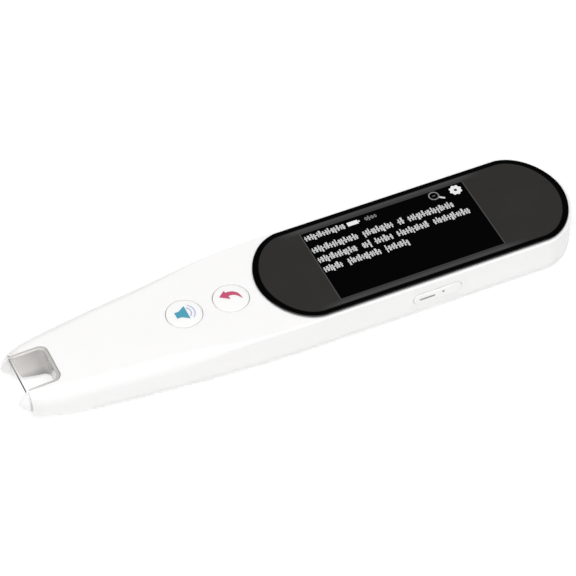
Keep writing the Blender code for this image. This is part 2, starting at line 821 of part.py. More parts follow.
def volume_rocker():
    """The long key on the near side, with a flange behind the wall and two pushers."""
    pivot = (rocker_x, -(half_width - side_wall), rocker_level)
    outer = half_width + rocker_proud
    loops = []
    for inset, y in ((0, rocker_back + rocker_flange_thickness / 2), (0, outer - rocker_edge),
                     (rocker_edge * (1 - cos(pi / 4)), outer - rocker_edge * (1 - sin(pi / 4))),
                     (rocker_edge, outer)):
        outline = rounded_outline((rocker_x - rocker_length / 2 + inset, rocker_level - rocker_height / 2 + inset),
                                  (rocker_x + rocker_length / 2 - inset, rocker_level + rocker_height / 2 - inset),
                                  rocker_height / 2 - inset)
        loops.append([(x, -y, z) for x, z in outline])
    shape = add("volume_rocker", lofted(loops), white_key, pivot)
    flange = rounded_outline(
        (rocker_x - rocker_length / 2 - rocker_flange,
         rocker_level - rocker_height / 2 - rocker_flange_height),
        (rocker_x + rocker_length / 2 + rocker_flange, rocker_level + rocker_height / 2 + rocker_flange_height),
        rocker_flange)
    fill(shape, tool("rocker_flange", on_side(flange, rocker_back + rocker_flange_thickness, rocker_back)))
    for name, way in (("down", -1), ("up", 1)):
        x = rocker_x + way * rocker_push_arm
        half = rocker_push_size / 2
        fill(shape, tool(f"rocker_push_{name}", block(
            (x - half, -rocker_back - rocker_flange_thickness / 2, rocker_level - half),
            (x + half, -rocker_back + rocker_push, rocker_level + half))))


def side_switches():
    """Two side-push switches behind the rocker, on their own little board."""
    tip = side_plunger_y
    body = tip + side_switch_plunger
    for name, way in (("volume_down_switch", -1), ("volume_up_switch", 1)):
        x = rocker_x + way * rocker_push_arm
        shape = add(name, block((x - side_switch_length / 2, body, rocker_level - side_switch_height / 2),
                                (x + side_switch_length / 2, body + side_switch_depth,
                                 rocker_level + side_switch_height / 2)), black_plastic)
        half = rocker_push_size / 2
        fill(shape, tool(f"{name}_plunger", block((x - half, tip, rocker_level - half),
                                                  (x + half, body + side_switch_depth / 2, rocker_level + half))))
    add("side_key_board", block((rocker_x - side_board_length / 2, side_board_y, inner_floor),
                                (rocker_x + side_board_length / 2, side_board_y + side_board_thickness,
                                 ceiling - side_board_headroom)), board_green)


def window_liner():
    """The smoky insert in the notch: walls that lean in, open below, in front and above."""
    outside = (seam, seam)
    foot = (notch_width / 2 - liner_foot_opening / 2, seam + liner_rear_foot)
    rim = (seam + liner_rim, seam + liner_rear_wall)
    shape = add("viewing_window", notch_form(outside, outside, notch_corner - seam, notch_corner - seam), smoke)
    inside = tool("cut_liner_inside", notch_form(foot, rim, liner_foot_corner, liner_inner_corner))
    rim_half = notch_width / 2 - seam - liner_rim
    bevel_loops = []
    for rise, spread in ((-2 * liner_bevel, -liner_bevel), (overrun, liner_bevel + overrun)):
        outline = rounded_outline((toe_x - overrun, -rim_half - spread),
                                  (notch_x - rim[1] + spread, rim_half + spread), liner_inner_corner + spread)
        bevel_loops.append([(x, y, top_at(max(x, seam_x)) + rise) for x, y in outline])
    trim(shape, whole_body("liner_trim"))
    front = toe_x - overrun
    top = top_at(seam_x)
    lean = liner_rake / (top - floor_at(notch_x))
    rake = slab([(front, -overrun), (shell_front + (top + overrun) * lean, -overrun), (shell_front, top),
                 (shell_front, shell_height + overrun), (front, shell_height + overrun)],
                -body_width, body_width)
    bmesh.ops.transform(rake, matrix=Matrix.Rotation(pi / 2, 4, "X"), verts=rake.verts)
    cut(shape, inside, tool("cut_liner_bevel", lofted(bevel_loops)), tool("cut_liner_rake", rake))

    bar_x = shell_front - seam - bar_width
    bar_top = top_at(seam_x) - bar_drop
    bar_half = notch_width / 2 - seam
    outline = rounded_outline((bar_x, bar_top - bar_height), (bar_x + bar_width, bar_top), bar_width / 3)
    add("guide_bar", on_side(outline, bar_half, -bar_half), black_plastic)


def scan_nib():
    """The two feet that touch the page, on a yoke that runs back round the window."""
    arm_inner = notch_width / 2 + nib_leg_inset
    arm_outer = plan_half(shell_front) - side_wall - nib_side_room
    arm_low = floor_at(seam_x) + side_wall + nib_arm_lift
    arm_top = top_at(seam_x) - roof_wall - nib_roof_room
    bridge_low = floor_at(notch_x) + side_wall + nib_arm_lift
    bridge_start = notch_x + nib_bridge_setback
    bridge_end = bridge_start + nib_bridge
    shape = add("scan_nib", body_form(0, floor_at, top_at, lambda x: bottom_radius, shoulder_at), white_key,
                (nib_back, 0, arm_low))
    behind = tool("cut_nib_behind", block((nib_back, -body_width, -overrun),
                                          (tail_x + overrun, body_width, shell_height + overrun)))
    between = tool("cut_nib_between", block((toe_x - overrun, -notch_width / 2, -overrun),
                                            (nib_back + overrun, notch_width / 2, shell_height + overrun)))
    cut(shape, behind, between)
    for name, side in (("near", -1), ("far", 1)):
        low_y, high_y = sorted((side * arm_inner, side * arm_outer))
        fill(shape, tool(f"nib_arm_{name}", block((nib_back - nib_root, low_y, arm_low),
                                                  (bridge_end, high_y, arm_top))))
        fill(shape, tool(f"nib_leg_{name}", block(
            (bridge_start + nib_leg_inset, low_y + nib_leg_inset, bridge_low + nib_leg_inset),
            (bridge_end - nib_leg_inset, high_y - nib_leg_inset, (arm_low + arm_top) / 2))))
    fill(shape, tool("nib_bridge", block((bridge_start, -(arm_inner + arm_outer) / 2, bridge_low),
                                         (bridge_end, (arm_inner + arm_outer) / 2,
                                          bridge_low + nib_bridge_height))))

    face = bridge_end + nib_travel + press_room
    start = face + tip_plunger
    bottom = floor_at(start) + side_wall + seam
    switch = add("tip_switch", block((start, -tip_switch_width / 2, bottom),
                                     (start + tip_switch_length, tip_switch_width / 2, bottom + tip_switch_height)),
                 black_plastic)
    level = bridge_low + nib_bridge_height / 2
    fill(switch, tool("tip_plunger", rod((face, 0, level), (start + tip_plunger, 0, level), tip_plunger_radius)))


def camera():
    """The camera that looks through the notch: holder, barrel, lens, sensor, board and two lamps."""
    axis = Vector((-cos(camera_tilt), 0, -sin(camera_tilt)))
    middle = Vector((holder_x + holder_depth / 2, 0, camera_level))
    holder = add("camera_holder", block((holder_x, -holder_width / 2, inner_floor),
                                        (holder_x + holder_depth, holder_width / 2, holder_top)),
                 black_plastic)
    cut(holder, tool("cut_holder_bore", rod(middle - axis * holder_depth, middle + axis * holder_depth,
                                            barrel_radius + seam, round_sides)))
    front = middle + axis * (holder_depth / 2 + barrel_reach)
    barrel = add("lens_barrel", rod(front - axis * barrel_length, front, barrel_radius, round_sides), black_plastic)
    cut(barrel, tool("cut_barrel_bore", rod(front - axis * barrel_length * 2, front + axis * barrel_length,
                                            barrel_bore, small_sides)))
    lens_back = front + axis * seam
    add("front_lens", rod(lens_back, lens_back + axis * lens_thickness, lens_radius, round_sides), lens_glass)
    half = sensor_size / 2
    add("image_sensor", block((sensor_board_x - seam - sensor_thickness, -half, camera_level - half),
                              (sensor_board_x - seam, half, camera_level + half)), black_plastic)
    add("sensor_board", block((sensor_board_x, -holder_width / 2, inner_floor),
                              (sensor_board_x + sensor_board_thickness, holder_width / 2,
                               holder_top)), board_green)
    for name, side in (("scan_led_near", -1), ("scan_led_far", 1)):
        y = side * led_spacing / 2
        add(name, block((holder_x - seam - led_thickness, y - led_size / 2, camera_level - led_size / 2),
                        (holder_x - seam, y + led_size / 2, camera_level + led_size / 2)), led_yellow)


def chip(name, x, length, width, low, high, look):
    """A flat component on a board."""
    add(name, block((x - length / 2, -width / 2, low), (x + length / 2, width / 2, high)), look)


def main_board():
    """The long board under the keys, with the chips that read and speak the text."""
    board = add("main_board", slab(rounded_outline((board_start, -board_width / 2), (board_end, board_width / 2),
                                                   board_corner), board_bottom, board_top), board_green)
    for number, (x, y) in enumerate(boss_places()[0]):
        cut(board, tool(f"cut_board_hole_{number}", rod((x, y, board_bottom - overrun), (x, y, board_top + overrun),
                                                        bore_radius)))
    above = board_top + seam
    below = board_bottom - seam
    chip("processor_chip", board_start + processor_place, processor_size, processor_size, above,
         above + processor_thickness, black_plastic)
    chip("power_chip", board_start + power_chip_place, power_chip_size, power_chip_size, above,
         above + power_chip_thickness, black_plastic)
    chip("memory_chip", board_start + memory_place, memory_length, memory_width, below - memory_thickness, below,
         black_plastic)
    chip("wireless_shield", board_start + shield_place, shield_length, shield_width,
         inner_floor + shield_floor_room, below, steel)


def power_and_sound():
    """Battery cell, speaker, tail board and charging socket."""
    low, high = inner_floor, inner_floor + battery_thickness
    ends = rounded_outline((-battery_width / 2, low), (battery_width / 2, high), battery_edge)
    loops = [[(x, y, z) for y, z in ends] for x in (battery_start, battery_end)]
    add("battery_cell", lofted(loops), cell_silver)

    base = inner_floor
    speaker = add("speaker", slab(rounded_outline((speaker_start, -speaker_width / 2),
                                                  (speaker_end, speaker_width / 2), speaker_corner),
                                  base, base + speaker_thickness - speaker_cup), black_plastic)
    fill(speaker, tool("speaker_cup", slab(rounded_outline(
        (speaker_start + speaker_cup_inset, -speaker_width / 2 + speaker_cup_inset),
        (speaker_end - speaker_cup_inset, speaker_width / 2 - speaker_cup_inset), speaker_corner),
        base + speaker_cup, base + speaker_thickness)))

    add("usb_board", block((tail_board_start, -tail_board_width / 2, base),
                           (tail_board_start + tail_board_length, tail_board_width / 2, tail_board_top)), board_green)
    socket = add("usb_c_socket", usb_outline(usb_start, usb_end, 0), steel)
    cut(socket, tool("cut_usb_mouth", usb_outline(usb_start + usb_wall * 2, usb_end + overrun, -usb_wall)))
    fill(socket, tool("usb_tongue", block(
        (usb_start + usb_wall, -usb_tongue_width / 2, usb_level - usb_tongue_thickness / 2),
        (usb_start + usb_wall + usb_tongue_length, usb_tongue_width / 2, usb_level + usb_tongue_thickness / 2))))


def usb_outline(start, end, grow):
    """The flat oval of the charging socket, between two x."""
    half_w = usb_width / 2 + grow
    half_h = usb_height / 2 + grow
    ring = rounded_outline((-half_w, usb_level - half_h), (half_w, usb_level + half_h), half_h)
    return lofted([[(x, y, z) for y, z in ring] for x in (start, end)])


def ribbon(path, low, high, upright=False):
    """A flat cable along a path; flat ones run in x and z, upright ones in x and y."""
    sides = ([], [])
    for i, point in enumerate(path):
        before = Vector(path[max(0, i - 1)])
        after = Vector(path[min(len(path) - 1, i + 1)])
        along = (after - before).normalized()
        normal = Vector((-along.y, along.x)) * flex_thickness / 2
        sides[0].append(Vector(point) + normal)
        sides[1].append(Vector(point) - normal)
    outline = sides[0] + sides[1][::-1]
    if upright:
        return lofted([[(p.x, p.y, z) for p in outline] for z in (low, high)])
    return lofted([[(p.x, y, p.y) for p in outline] for y in (low, high)])


def bend(centre, radius, start, end, steps=corner_steps):
    """Points round a bend of a flat cable."""
    return [(centre[0] + radius * cos(start + (end - start) * i / steps),
             centre[1] + radius * sin(start + (end - start) * i / steps)) for i in range(steps + 1)]


def flat_cables():
    """The three flat cables: screen, camera and tail."""
    lie = board_top + seam + flex_thickness / 2
    drop_x = panel_start - seam - flex_thickness / 2
    radius = flex_thickness * 2
    path = [(drop_x, panel_top - flex_thickness)]
    path += bend((drop_x - radius, lie + radius), radius, 0, -pi / 2)
    path.append((board_end - screen_flex_overlap, lie))
    add("display_flex", ribbon(path, -screen_flex_width / 2, screen_flex_width / 2), flex_amber)

    rise_x = sensor_board_x + sensor_board_thickness + seam + flex_thickness / 2
    path = [(rise_x, inner_floor + flex_thickness)]
    path += bend((rise_x + radius, lie - radius), radius, pi, pi / 2)
    path.append((board_start + camera_flex_overlap, lie))
    add("camera_flex", ribbon(path, -camera_flex_width / 2, camera_flex_width / 2), flex_amber)

    run_y = max(battery_width, board_width) / 2 + seam + flex_thickness / 2
    end_y = tail_board_width / 2 - seam - flex_thickness
    turn_x = tail_board_start + seam
    path = [(board_end - tail_flex_overlap, run_y), (speaker_end - tail_flex_turn, run_y),
            (turn_x, end_y + tail_flex_turn), (turn_x + tail_flex_turn, end_y),
            (turn_x + tail_flex_turn + tail_flex_overlap / 2, end_y)]
    low = tail_board_top + seam
    add("tail_flex", ribbon(path, low, low + tail_flex_height, upright=True), flex_amber)


def screw(x, y, head_top, length):
    """A pan-head screw driven upwards."""
    profile = [(0, head_top - head_height), (head_radius * head_top_share, head_top - head_height),
               (head_radius, head_top - head_height / 2), (head_radius, head_top), (shank_radius, head_top),
               (shank_radius, head_top + length), (0, head_top + length)]
    return turned(profile, (x, y, 0), small_sides)


def screws():
    """Screws of the main board and of the screen frame."""
    board, frame = boss_places()
    for number, (x, y) in enumerate(board, start=1):
        add(f"board_screw_{number}", screw(x, y, board_bottom - seam, board_screw_length), steel)
    for number, (x, y) in enumerate(frame, start=1):
        add(f"frame_screw_{number}", screw(x, y, frame_bottom - seam, frame_screw_length), steel)


clear_scene()
upper_shell()
lower_shell()
screen()
for key_name, key_x in (("read", read_x), ("back", back_x)):
    button(f"{key_name}_button", key_x)
    push_switch(f"{key_name}_switch", key_x)
volume_rocker()
side_switches()
window_liner()
scan_nib()
camera()
main_board()
power_and_sound()
flat_cables()
screws()
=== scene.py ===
import json
from math import cos, pi, radians, sin, tan

import bmesh
import bpy
from mathutils import Matrix, Vector


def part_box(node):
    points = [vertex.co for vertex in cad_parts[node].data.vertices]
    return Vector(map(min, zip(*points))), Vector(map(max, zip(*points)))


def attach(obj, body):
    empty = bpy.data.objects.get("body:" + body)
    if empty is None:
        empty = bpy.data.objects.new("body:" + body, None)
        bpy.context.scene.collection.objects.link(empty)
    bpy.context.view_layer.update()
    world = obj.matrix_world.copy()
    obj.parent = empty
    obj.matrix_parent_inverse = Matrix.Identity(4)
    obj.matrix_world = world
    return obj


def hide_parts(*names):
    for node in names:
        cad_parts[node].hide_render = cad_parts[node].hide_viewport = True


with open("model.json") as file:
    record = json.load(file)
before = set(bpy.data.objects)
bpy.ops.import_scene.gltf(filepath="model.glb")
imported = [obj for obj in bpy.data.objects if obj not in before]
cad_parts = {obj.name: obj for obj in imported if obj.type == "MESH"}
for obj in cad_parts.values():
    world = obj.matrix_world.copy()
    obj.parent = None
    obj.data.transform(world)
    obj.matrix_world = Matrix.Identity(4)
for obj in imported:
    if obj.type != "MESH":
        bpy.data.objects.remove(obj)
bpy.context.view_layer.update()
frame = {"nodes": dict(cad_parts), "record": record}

MM = 0.001

# Sizes of the pen in millimetres, as the solids have them
GAP = 0.3
SEAM_GAP = 0.05
KEY_GAP = 0.13
REACH = 2.0
HALF_WIDTH = 15.2
TOE_X = -71.6
TAIL_X = 71.66
TAIL_END = 12.1
END_POWER = 1.87
SEAM_X = -69.05
SHELL_FRONT = -68.87
NIB_BACK = -69.28
TAPER_LENGTH = 68.0
TAPER_POWER = 1.7
TIP_WIDTH = 18.5
NOSE_FLAT = 9.0
NOSE_CORNER = 9.9
NOSE_POWER = 2.5
NOSE_SLOPE = radians(45.0)
DROOP_LENGTH = 45.0
DROOP = 1.55
DROOP_POWER = 1.6
BOW_LENGTH = 16.9
BOW_RISE = 5.2
BOW_POWER = 2.0
SHELL_HEIGHT = 10.05
BOTTOM_RADIUS = 2.0
LIP_RADIUS = 0.28
SHOULDER_RADIUS = 3.0
SHOULDER_LENGTH = 26.0
SIDE_WALL = 1.3
ROOF_WALL = 1.65
FLOOR_WALL = 1.2
PARTING_HEIGHT = 2.0
TIP_FLOOR_X = -55.2
GLASS_X = 30.9
GLASS_LENGTH = 80.0
GLASS_WIDTH = 28.8
GLASS_END = 11.3
GLASS_GAP = 0.25
GLASS_TOP = 10.48
GLASS_BOTTOM = 9.7
RECESS_FLOOR = 9.4
PANEL_X = 28.4
PANEL_LENGTH = 42.72
PANEL_WIDTH = 22.70
READ_X = -27.8
BACK_X = -15.95
BUTTON_RADIUS = 4.3
ROCKER_X = 30.35
ROCKER_LEVEL = 5.8
ROCKER_LENGTH = 12.5
ROCKER_HEIGHT = 3.0
NOTCH_X = -60.35
NOTCH_WIDTH = 11.6
NOTCH_LEAN = 0.9
NOTCH_CORNER = 2.0
USB_LEVEL = 4.2
USB_END = 70.6


def side_at(x):
    """Half the body's width at x, ahead of the tail."""
    reach = max(0, (SEAM_X + TAPER_LENGTH - x) / TAPER_LENGTH)
    return HALF_WIDTH - (HALF_WIDTH - TIP_WIDTH / 2) * reach ** TAPER_POWER


def plan_half(x):
    """Half the body's width at x, with the round corners of the nose."""
    reach = min(1, max(0, (TOE_X + NOSE_CORNER - x) / NOSE_CORNER))
    return NOSE_FLAT / 2 + (side_at(x) - NOSE_FLAT / 2) * (1 - reach ** NOSE_POWER) ** (1 / NOSE_POWER)


def top_at(x):
    """Height of the top face at x: level, then drooping to the seam, then sloping down the feet."""
    if x >= SEAM_X:
        reach = max(0, (SEAM_X + DROOP_LENGTH - x) / DROOP_LENGTH)
        return SHELL_HEIGHT - DROOP * reach ** DROOP_POWER
    return SHELL_HEIGHT - DROOP - (SEAM_X - x) * tan(NOSE_SLOPE)


def floor_at(x):
    """Height of the underside at x: flat, then bowed up towards the tip."""
    reach = min(1, max(0, (TOE_X + BOW_LENGTH - x) / BOW_LENGTH))
    return BOW_RISE * (1 - (1 - reach ** BOW_POWER) ** (1 / BOW_POWER))


def shoulder_at(x):
    """Radius of the top edge: a fine lip beside the screen, a soft shoulder ahead of it."""
    reach = min(1, max(0, (SEAM_X + DROOP_LENGTH + SHOULDER_LENGTH / 2 - x) / SHOULDER_LENGTH))
    return LIP_RADIUS + (SHOULDER_RADIUS - LIP_RADIUS) * reach * reach * (3 - 2 * reach)


def drop_selection():
    """Leaves no object selected, because an operator acts on all that is."""
    if bpy.context.object and bpy.context.object.mode != "OBJECT":
        bpy.ops.object.mode_set(mode="OBJECT")
    bpy.ops.object.select_all(action="DESELECT")


def begun(name):
    """Names the primitive that was just added and opens it in edit mode."""
    piece = bpy.context.object
    piece.name = piece.data.name = name
    bpy.ops.object.mode_set(mode="EDIT")
    form = bmesh.from_edit_mesh(piece.data)
    form.verts.ensure_lookup_table()
    return piece, form


def closed(piece):
    """Merges doubles, turns the faces outwards and leaves edit mode, with the place in the mesh."""
    bpy.ops.mesh.select_all(action="SELECT")
    bpy.ops.mesh.remove_doubles(threshold=0.002 * MM)
    bpy.ops.mesh.normals_make_consistent(inside=False)
    bpy.ops.object.mode_set(mode="OBJECT")
    bpy.ops.object.transform_apply(location=True, rotation=True, scale=True)
    return piece


def ring_stack(name, rings, strips=False):
    """A circle raised ring by ring, each ring placed on its outline; strips closes the ends side to side."""
    drop_selection()
    count = len(rings[0])
    bpy.ops.mesh.primitive_circle_add(vertices=count, radius=MM)
    piece, form = begun(name)
    for number, ring in enumerate(rings):
        if number:
            bpy.ops.mesh.extrude_region_move()
            form = bmesh.from_edit_mesh(piece.data)
            form.verts.ensure_lookup_table()
        for index, point in enumerate(ring):
            form.verts[number * count + index].co = Vector(point) * MM
    first = [form.verts[i] for i in range(count)]
    last = [form.verts[(len(rings) - 1) * count + i] for i in range(count)]
    for end in (first, last):
        if strips:
            half = count // 2
            for i in range(half - 1):
                form.faces.new((end[i], end[i + 1], end[count - 2 - i], end[count - 1 - i]))
        else:
            form.faces.new(end)
    bmesh.update_edit_mesh(piece.data)
    return closed(piece)


def plate(name, outline, low, high):
    """A filled circle whose points are placed on an outline, extruded from one height to another."""
    drop_selection()
    bpy.ops.mesh.primitive_circle_add(vertices=len(outline), radius=MM, fill_type="NGON")
    piece, form = begun(name)
    for index, (x, y) in enumerate(outline):
        form.verts[index].co = (x * MM, y * MM, low * MM)
    bpy.ops.mesh.select_all(action="SELECT")
    bpy.ops.mesh.extrude_region_move(TRANSFORM_OT_translate={"value": (0, 0, (high - low) * MM)})
    return closed(piece)


def box_at(name, low, high, radius=0, segments=4):
    """A cube at its size and place, all its edges bevelled where a radius is given."""
    drop_selection()
    low, high = Vector(low) * MM, Vector(high) * MM
    bpy.ops.mesh.primitive_cube_add(size=1, location=(low + high) / 2, scale=high - low)
    bpy.ops.object.transform_apply(location=True, rotation=True, scale=True)
    piece, form = begun(name)
    if radius:
        bpy.ops.mesh.select_all(action="SELECT")
        bpy.ops.mesh.bevel(offset=radius * MM, segments=segments, affect="EDGES")
    return closed(piece)


def changed(piece, operation, *tools):
    """Cuts, joins or trims a piece with others and applies it; the others are used up."""
    for each in tools:
        change = piece.modifiers.new(each.name, "BOOLEAN")
        change.operation = operation
        change.solver = "EXACT"
        change.object = each
        drop_selection()
        piece.select_set(True)
        bpy.context.view_layer.objects.active = piece
        bpy.ops.object.modifier_apply(modifier=change.name)
        bpy.data.objects.remove(each, do_unlink=True)
    return piece


def joined(pieces):
    """Makes one object of several, under the first one's name."""
    drop_selection()
    for each in pieces:
        each.select_set(True)
    bpy.context.view_layer.objects.active = pieces[0]
    if len(pieces) > 1:
        bpy.ops.object.join()
    return pieces[0]


def finished(piece, body, material, *nodes, slot=None, angle=30):
    """Shades a piece, gives it its material and body, and lets it stand for CAD nodes."""
    drop_selection()
    piece.select_set(True)
    bpy.context.view_layer.objects.active = piece
    bpy.ops.object.shade_smooth_by_angle(angle=radians(angle))
    even = piece.modifiers.new("even_shading", "WEIGHTED_NORMAL")
    even.keep_sharp = True
    bpy.ops.object.modifier_apply(modifier=even.name)
    piece.data.materials.clear()
    piece.data.materials.append(material)
    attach(piece, body)
    if nodes:
        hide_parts(*nodes)
    return piece


def round_corners(low, high, radius, steps=8):
    """A rectangle with round corners, counter-clockwise."""
    (x0, y0), (x1, y1) = low, high
    radius = min(radius, (x1 - x0) / 2 - 0.001, (y1 - y0) / 2 - 0.001)
    points = []
    for quarter, (x, y) in enumerate(((x1 - radius, y1 - radius), (x0 + radius, y1 - radius),
                                      (x0 + radius, y0 + radius), (x1 - radius, y0 + radius))):
        for step in range(steps + 1):
            angle = (quarter + step / steps) * pi / 2
            points.append((x + radius * cos(angle), y + radius * sin(angle)))
    return points


def pill(grow=0.0, steps=36):
    """The screen glass seen from above, grown all round: straight sides, slightly pointed round ends."""
    power = 2 / END_POWER
    along_end, half = GLASS_END + grow, GLASS_WIDTH / 2 + grow
    quarter = []
    for step in range(steps + 1):
        angle = step / steps * pi / 2
        quarter.append((GLASS_LENGTH / 2 - GLASS_END + along_end * abs(cos(angle)) ** power,
                        half * abs(sin(angle)) ** power))
    top = quarter + [(-x, y) for x, y in reversed(quarter)]
    whole = top + [(x, -y) for x, y in reversed(top)]
    kept = []
    for x, y in whole:
        if not kept or abs(x + GLASS_X - kept[-1][0]) + abs(y - kept[-1][1]) > 0.002:
            kept.append((x + GLASS_X, y))
    if abs(kept[0][0] - kept[-1][0]) + abs(kept[0][1] - kept[-1][1]) < 0.002:
        kept.pop()
    return kept


def side_line(nose_steps=18, taper_steps=48, tail_steps=30):
    """Points and outward normals of one long side, from the nose to the tail."""
    points = []
    corner_x = TOE_X + NOSE_CORNER
    small = 0.01
    for step in range(nose_steps):
        x = corner_x - NOSE_CORNER * cos(step / nose_steps * pi / 2) ** (2 / NOSE_POWER)
        slope = (plan_half(x + small) - plan_half(x)) / small
        points.append((Vector((x, plan_half(x))), Vector((-slope, 1)) if step else Vector((-1, 0))))
    for step in range(taper_steps + 1):
        x = corner_x + (SEAM_X + TAPER_LENGTH - corner_x) * step / taper_steps
        slope = (side_at(x + small) - side_at(x - small)) / (2 * small)
        points.append((Vector((x, side_at(x))), Vector((-slope, 1))))
    power = 2 / END_POWER
    for step in range(tail_steps):
        angle = (1 - step / (tail_steps - 0.5)) * pi / 2
        points.append((Vector((TAIL_X - TAIL_END + TAIL_END * cos(angle) ** power, HALF_WIDTH * sin(angle) ** power)),
                       Vector((cos(angle) ** (2 - power) / TAIL_END, sin(angle) ** (2 - power) / HALF_WIDTH))))
    return [(place, normal.normalized()) for place, normal in points]


def body_rings(inset, floor, roof, low_radius=None, high_radius=None, steps=8):
    """Outlines of the body, or of a form inside it, from its floor up to its roof."""
    levels = [("low", i / steps * pi / 2) for i in range(steps + 1)] if low_radius else [("low", pi / 2)]
    levels += [("high", i / steps * pi / 2) for i in range(steps + 1)] if high_radius else [("high", 0)]
    rings = []
    for end, angle in levels:
        half = []
        for place, normal in side_line():
            tall = roof(place.x) - floor(place.x)
            if end == "low":
                radius = min(low_radius(place.x), tall * 0.33) if low_radius else 0
                flat = place - normal * (inset + radius * (1 - sin(angle)))
                half.append((flat.x, flat.y, floor(flat.x) + radius * (1 - cos(angle))))
            else:
                radius = min(high_radius(place.x), tall * 0.52) if high_radius else 0
                flat = place - normal * (inset + radius * (1 - cos(angle)))
                half.append((flat.x, flat.y, roof(flat.x) - radius * (1 - sin(angle))))
        rings.append(half + [(x, -y, z) for x, y, z in reversed(half)])
    return rings


def whole_body(name):
    """The closed pen as one form."""
    return ring_stack(name, body_rings(0, floor_at, top_at, lambda x: BOTTOM_RADIUS, shoulder_at), strips=True)


def flared(name, outline_at, depth, height_at, fillet, steps=4):
    """A cutting form that leaves a small round edge: outline_at(grow) gives the outline, height_at(x) the face."""
    rings = [[(x, y, height_at(x) - depth) for x, y in outline_at(0)]]
    for step in range(steps + 1):
        angle = step / steps * pi / 2
        rings.append([(x, y, height_at(x) - fillet * (1 - sin(angle)))
                      for x, y in outline_at(fillet * (1 - cos(angle)))])
    rings.append([(x, y, height_at(x) + REACH) for x, y in outline_at(fillet)])
    return ring_stack(name, rings)


def circle_at(x, radius, count=96):
    """A circle on the pen's middle line."""
    return [(x + radius * cos(i / count * 2 * pi), radius * sin(i / count * 2 * pi)) for i in range(count)]


def notch_rear(height):
    """Where the rear of the notch is at a height: it leans back towards the underside."""
    top, base = top_at(NOTCH_X), floor_at(NOTCH_X)
    return NOTCH_X + NOTCH_LEAN * (top - height) / (top - base)


def notch_outline(side, rear, corner, height, steps=10):
    """The notch at a height, side and rear given inwards; the front runs out past the nose."""
    half = NOTCH_WIDTH / 2 - side
    back = notch_rear(height) - rear
    points = [(TOE_X - REACH, -half)]
    for start, y in ((-pi / 2, -half + corner), (0, half - corner)):
        for step in range(steps + 1):
            angle = start + step / steps * pi / 2
            points.append((back - corner + corner * cos(angle), y + corner * sin(angle)))
    return points + [(TOE_X - REACH, half)]


def linear(code):
    """A linear colour from an sRGB hex code."""
    parts = [int(code[i:i + 2], 16) / 255 for i in (0, 2, 4)]
    return tuple(p / 12.92 if p <= 0.04045 else ((p + 0.055) / 1.055) ** 2.4 for p in parts) + (1.0,)


def node(tree, kind, settings=None, **links):
    """Adds a node: settings are its own, links are inputs with a value or another node's output."""
    made = tree.nodes.new(kind)
    for name, value in (settings or {}).items():
        setattr(made, name, value)
    for name, value in links.items():
        socket = made.inputs[int(name[1:])] if name[1:].isdigit() else made.inputs[name.replace("_", " ")]
        if isinstance(value, bpy.types.NodeSocket):
            tree.links.new(value, socket)
        else:
            socket.default_value = value
    return made.outputs


def begin_material(name, **values):
    """A material with its shader's uniform values, its tree, its shader and its Object coordinates."""
    made = bpy.data.materials.new(name)
    made.use_nodes = True
    tree = made.node_tree
    shader = tree.nodes["Principled BSDF"]
    for key, value in values.items():
        shader.inputs[key.replace("_", " ")].default_value = value
    return made, tree, shader, node(tree, "ShaderNodeTexCoord")["Object"]


def moulded_gloss_abs(name, colour, shade, roughness):
    """Injection-moulded gloss ABS: opaque white, a hard clear sheen, and a surface that sinks
    very slightly between its ribs, so that reflections waver a little."""
    made, tree, shader, place = begin_material(name, IOR=1.53, Subsurface_Weight=0.35, Subsurface_Scale=1.2 * MM,
                                               Subsurface_Radius=(1.0, 0.95, 0.9))
    cloud = node(tree, "ShaderNodeTexNoise", Vector=place, Scale=1 / (14 * MM), Detail=2.0)
    tint = node(tree, "ShaderNodeMix", {"data_type": "RGBA"}, i0=cloud["Fac"], i6=linear(colour), i7=linear(shade))
    tree.links.new(tint[2], shader.inputs["Base Color"])
    grain = node(tree, "ShaderNodeTexNoise", Vector=place, Scale=1 / (0.35 * MM), Detail=3.0)
    gloss = node(tree, "ShaderNodeMapRange", Value=grain["Fac"], To_Min=roughness - 0.03, To_Max=roughness + 0.04)
    tree.links.new(gloss["Result"], shader.inputs["Roughness"])
    sink = node(tree, "ShaderNodeBump", Strength=0.12, Distance=0.02 * MM, Height=grain["Fac"])
    tree.links.new(sink["Normal"], shader.inputs["Normal"])
    return made


white_shell = moulded_gloss_abs("injection_moulded_gloss_abs", "faf9f8", "f6f5f4", 0.24)
white_key = moulded_gloss_abs("injection_moulded_satin_abs_keys", "fbfaf9", "f7f6f5", 0.3)


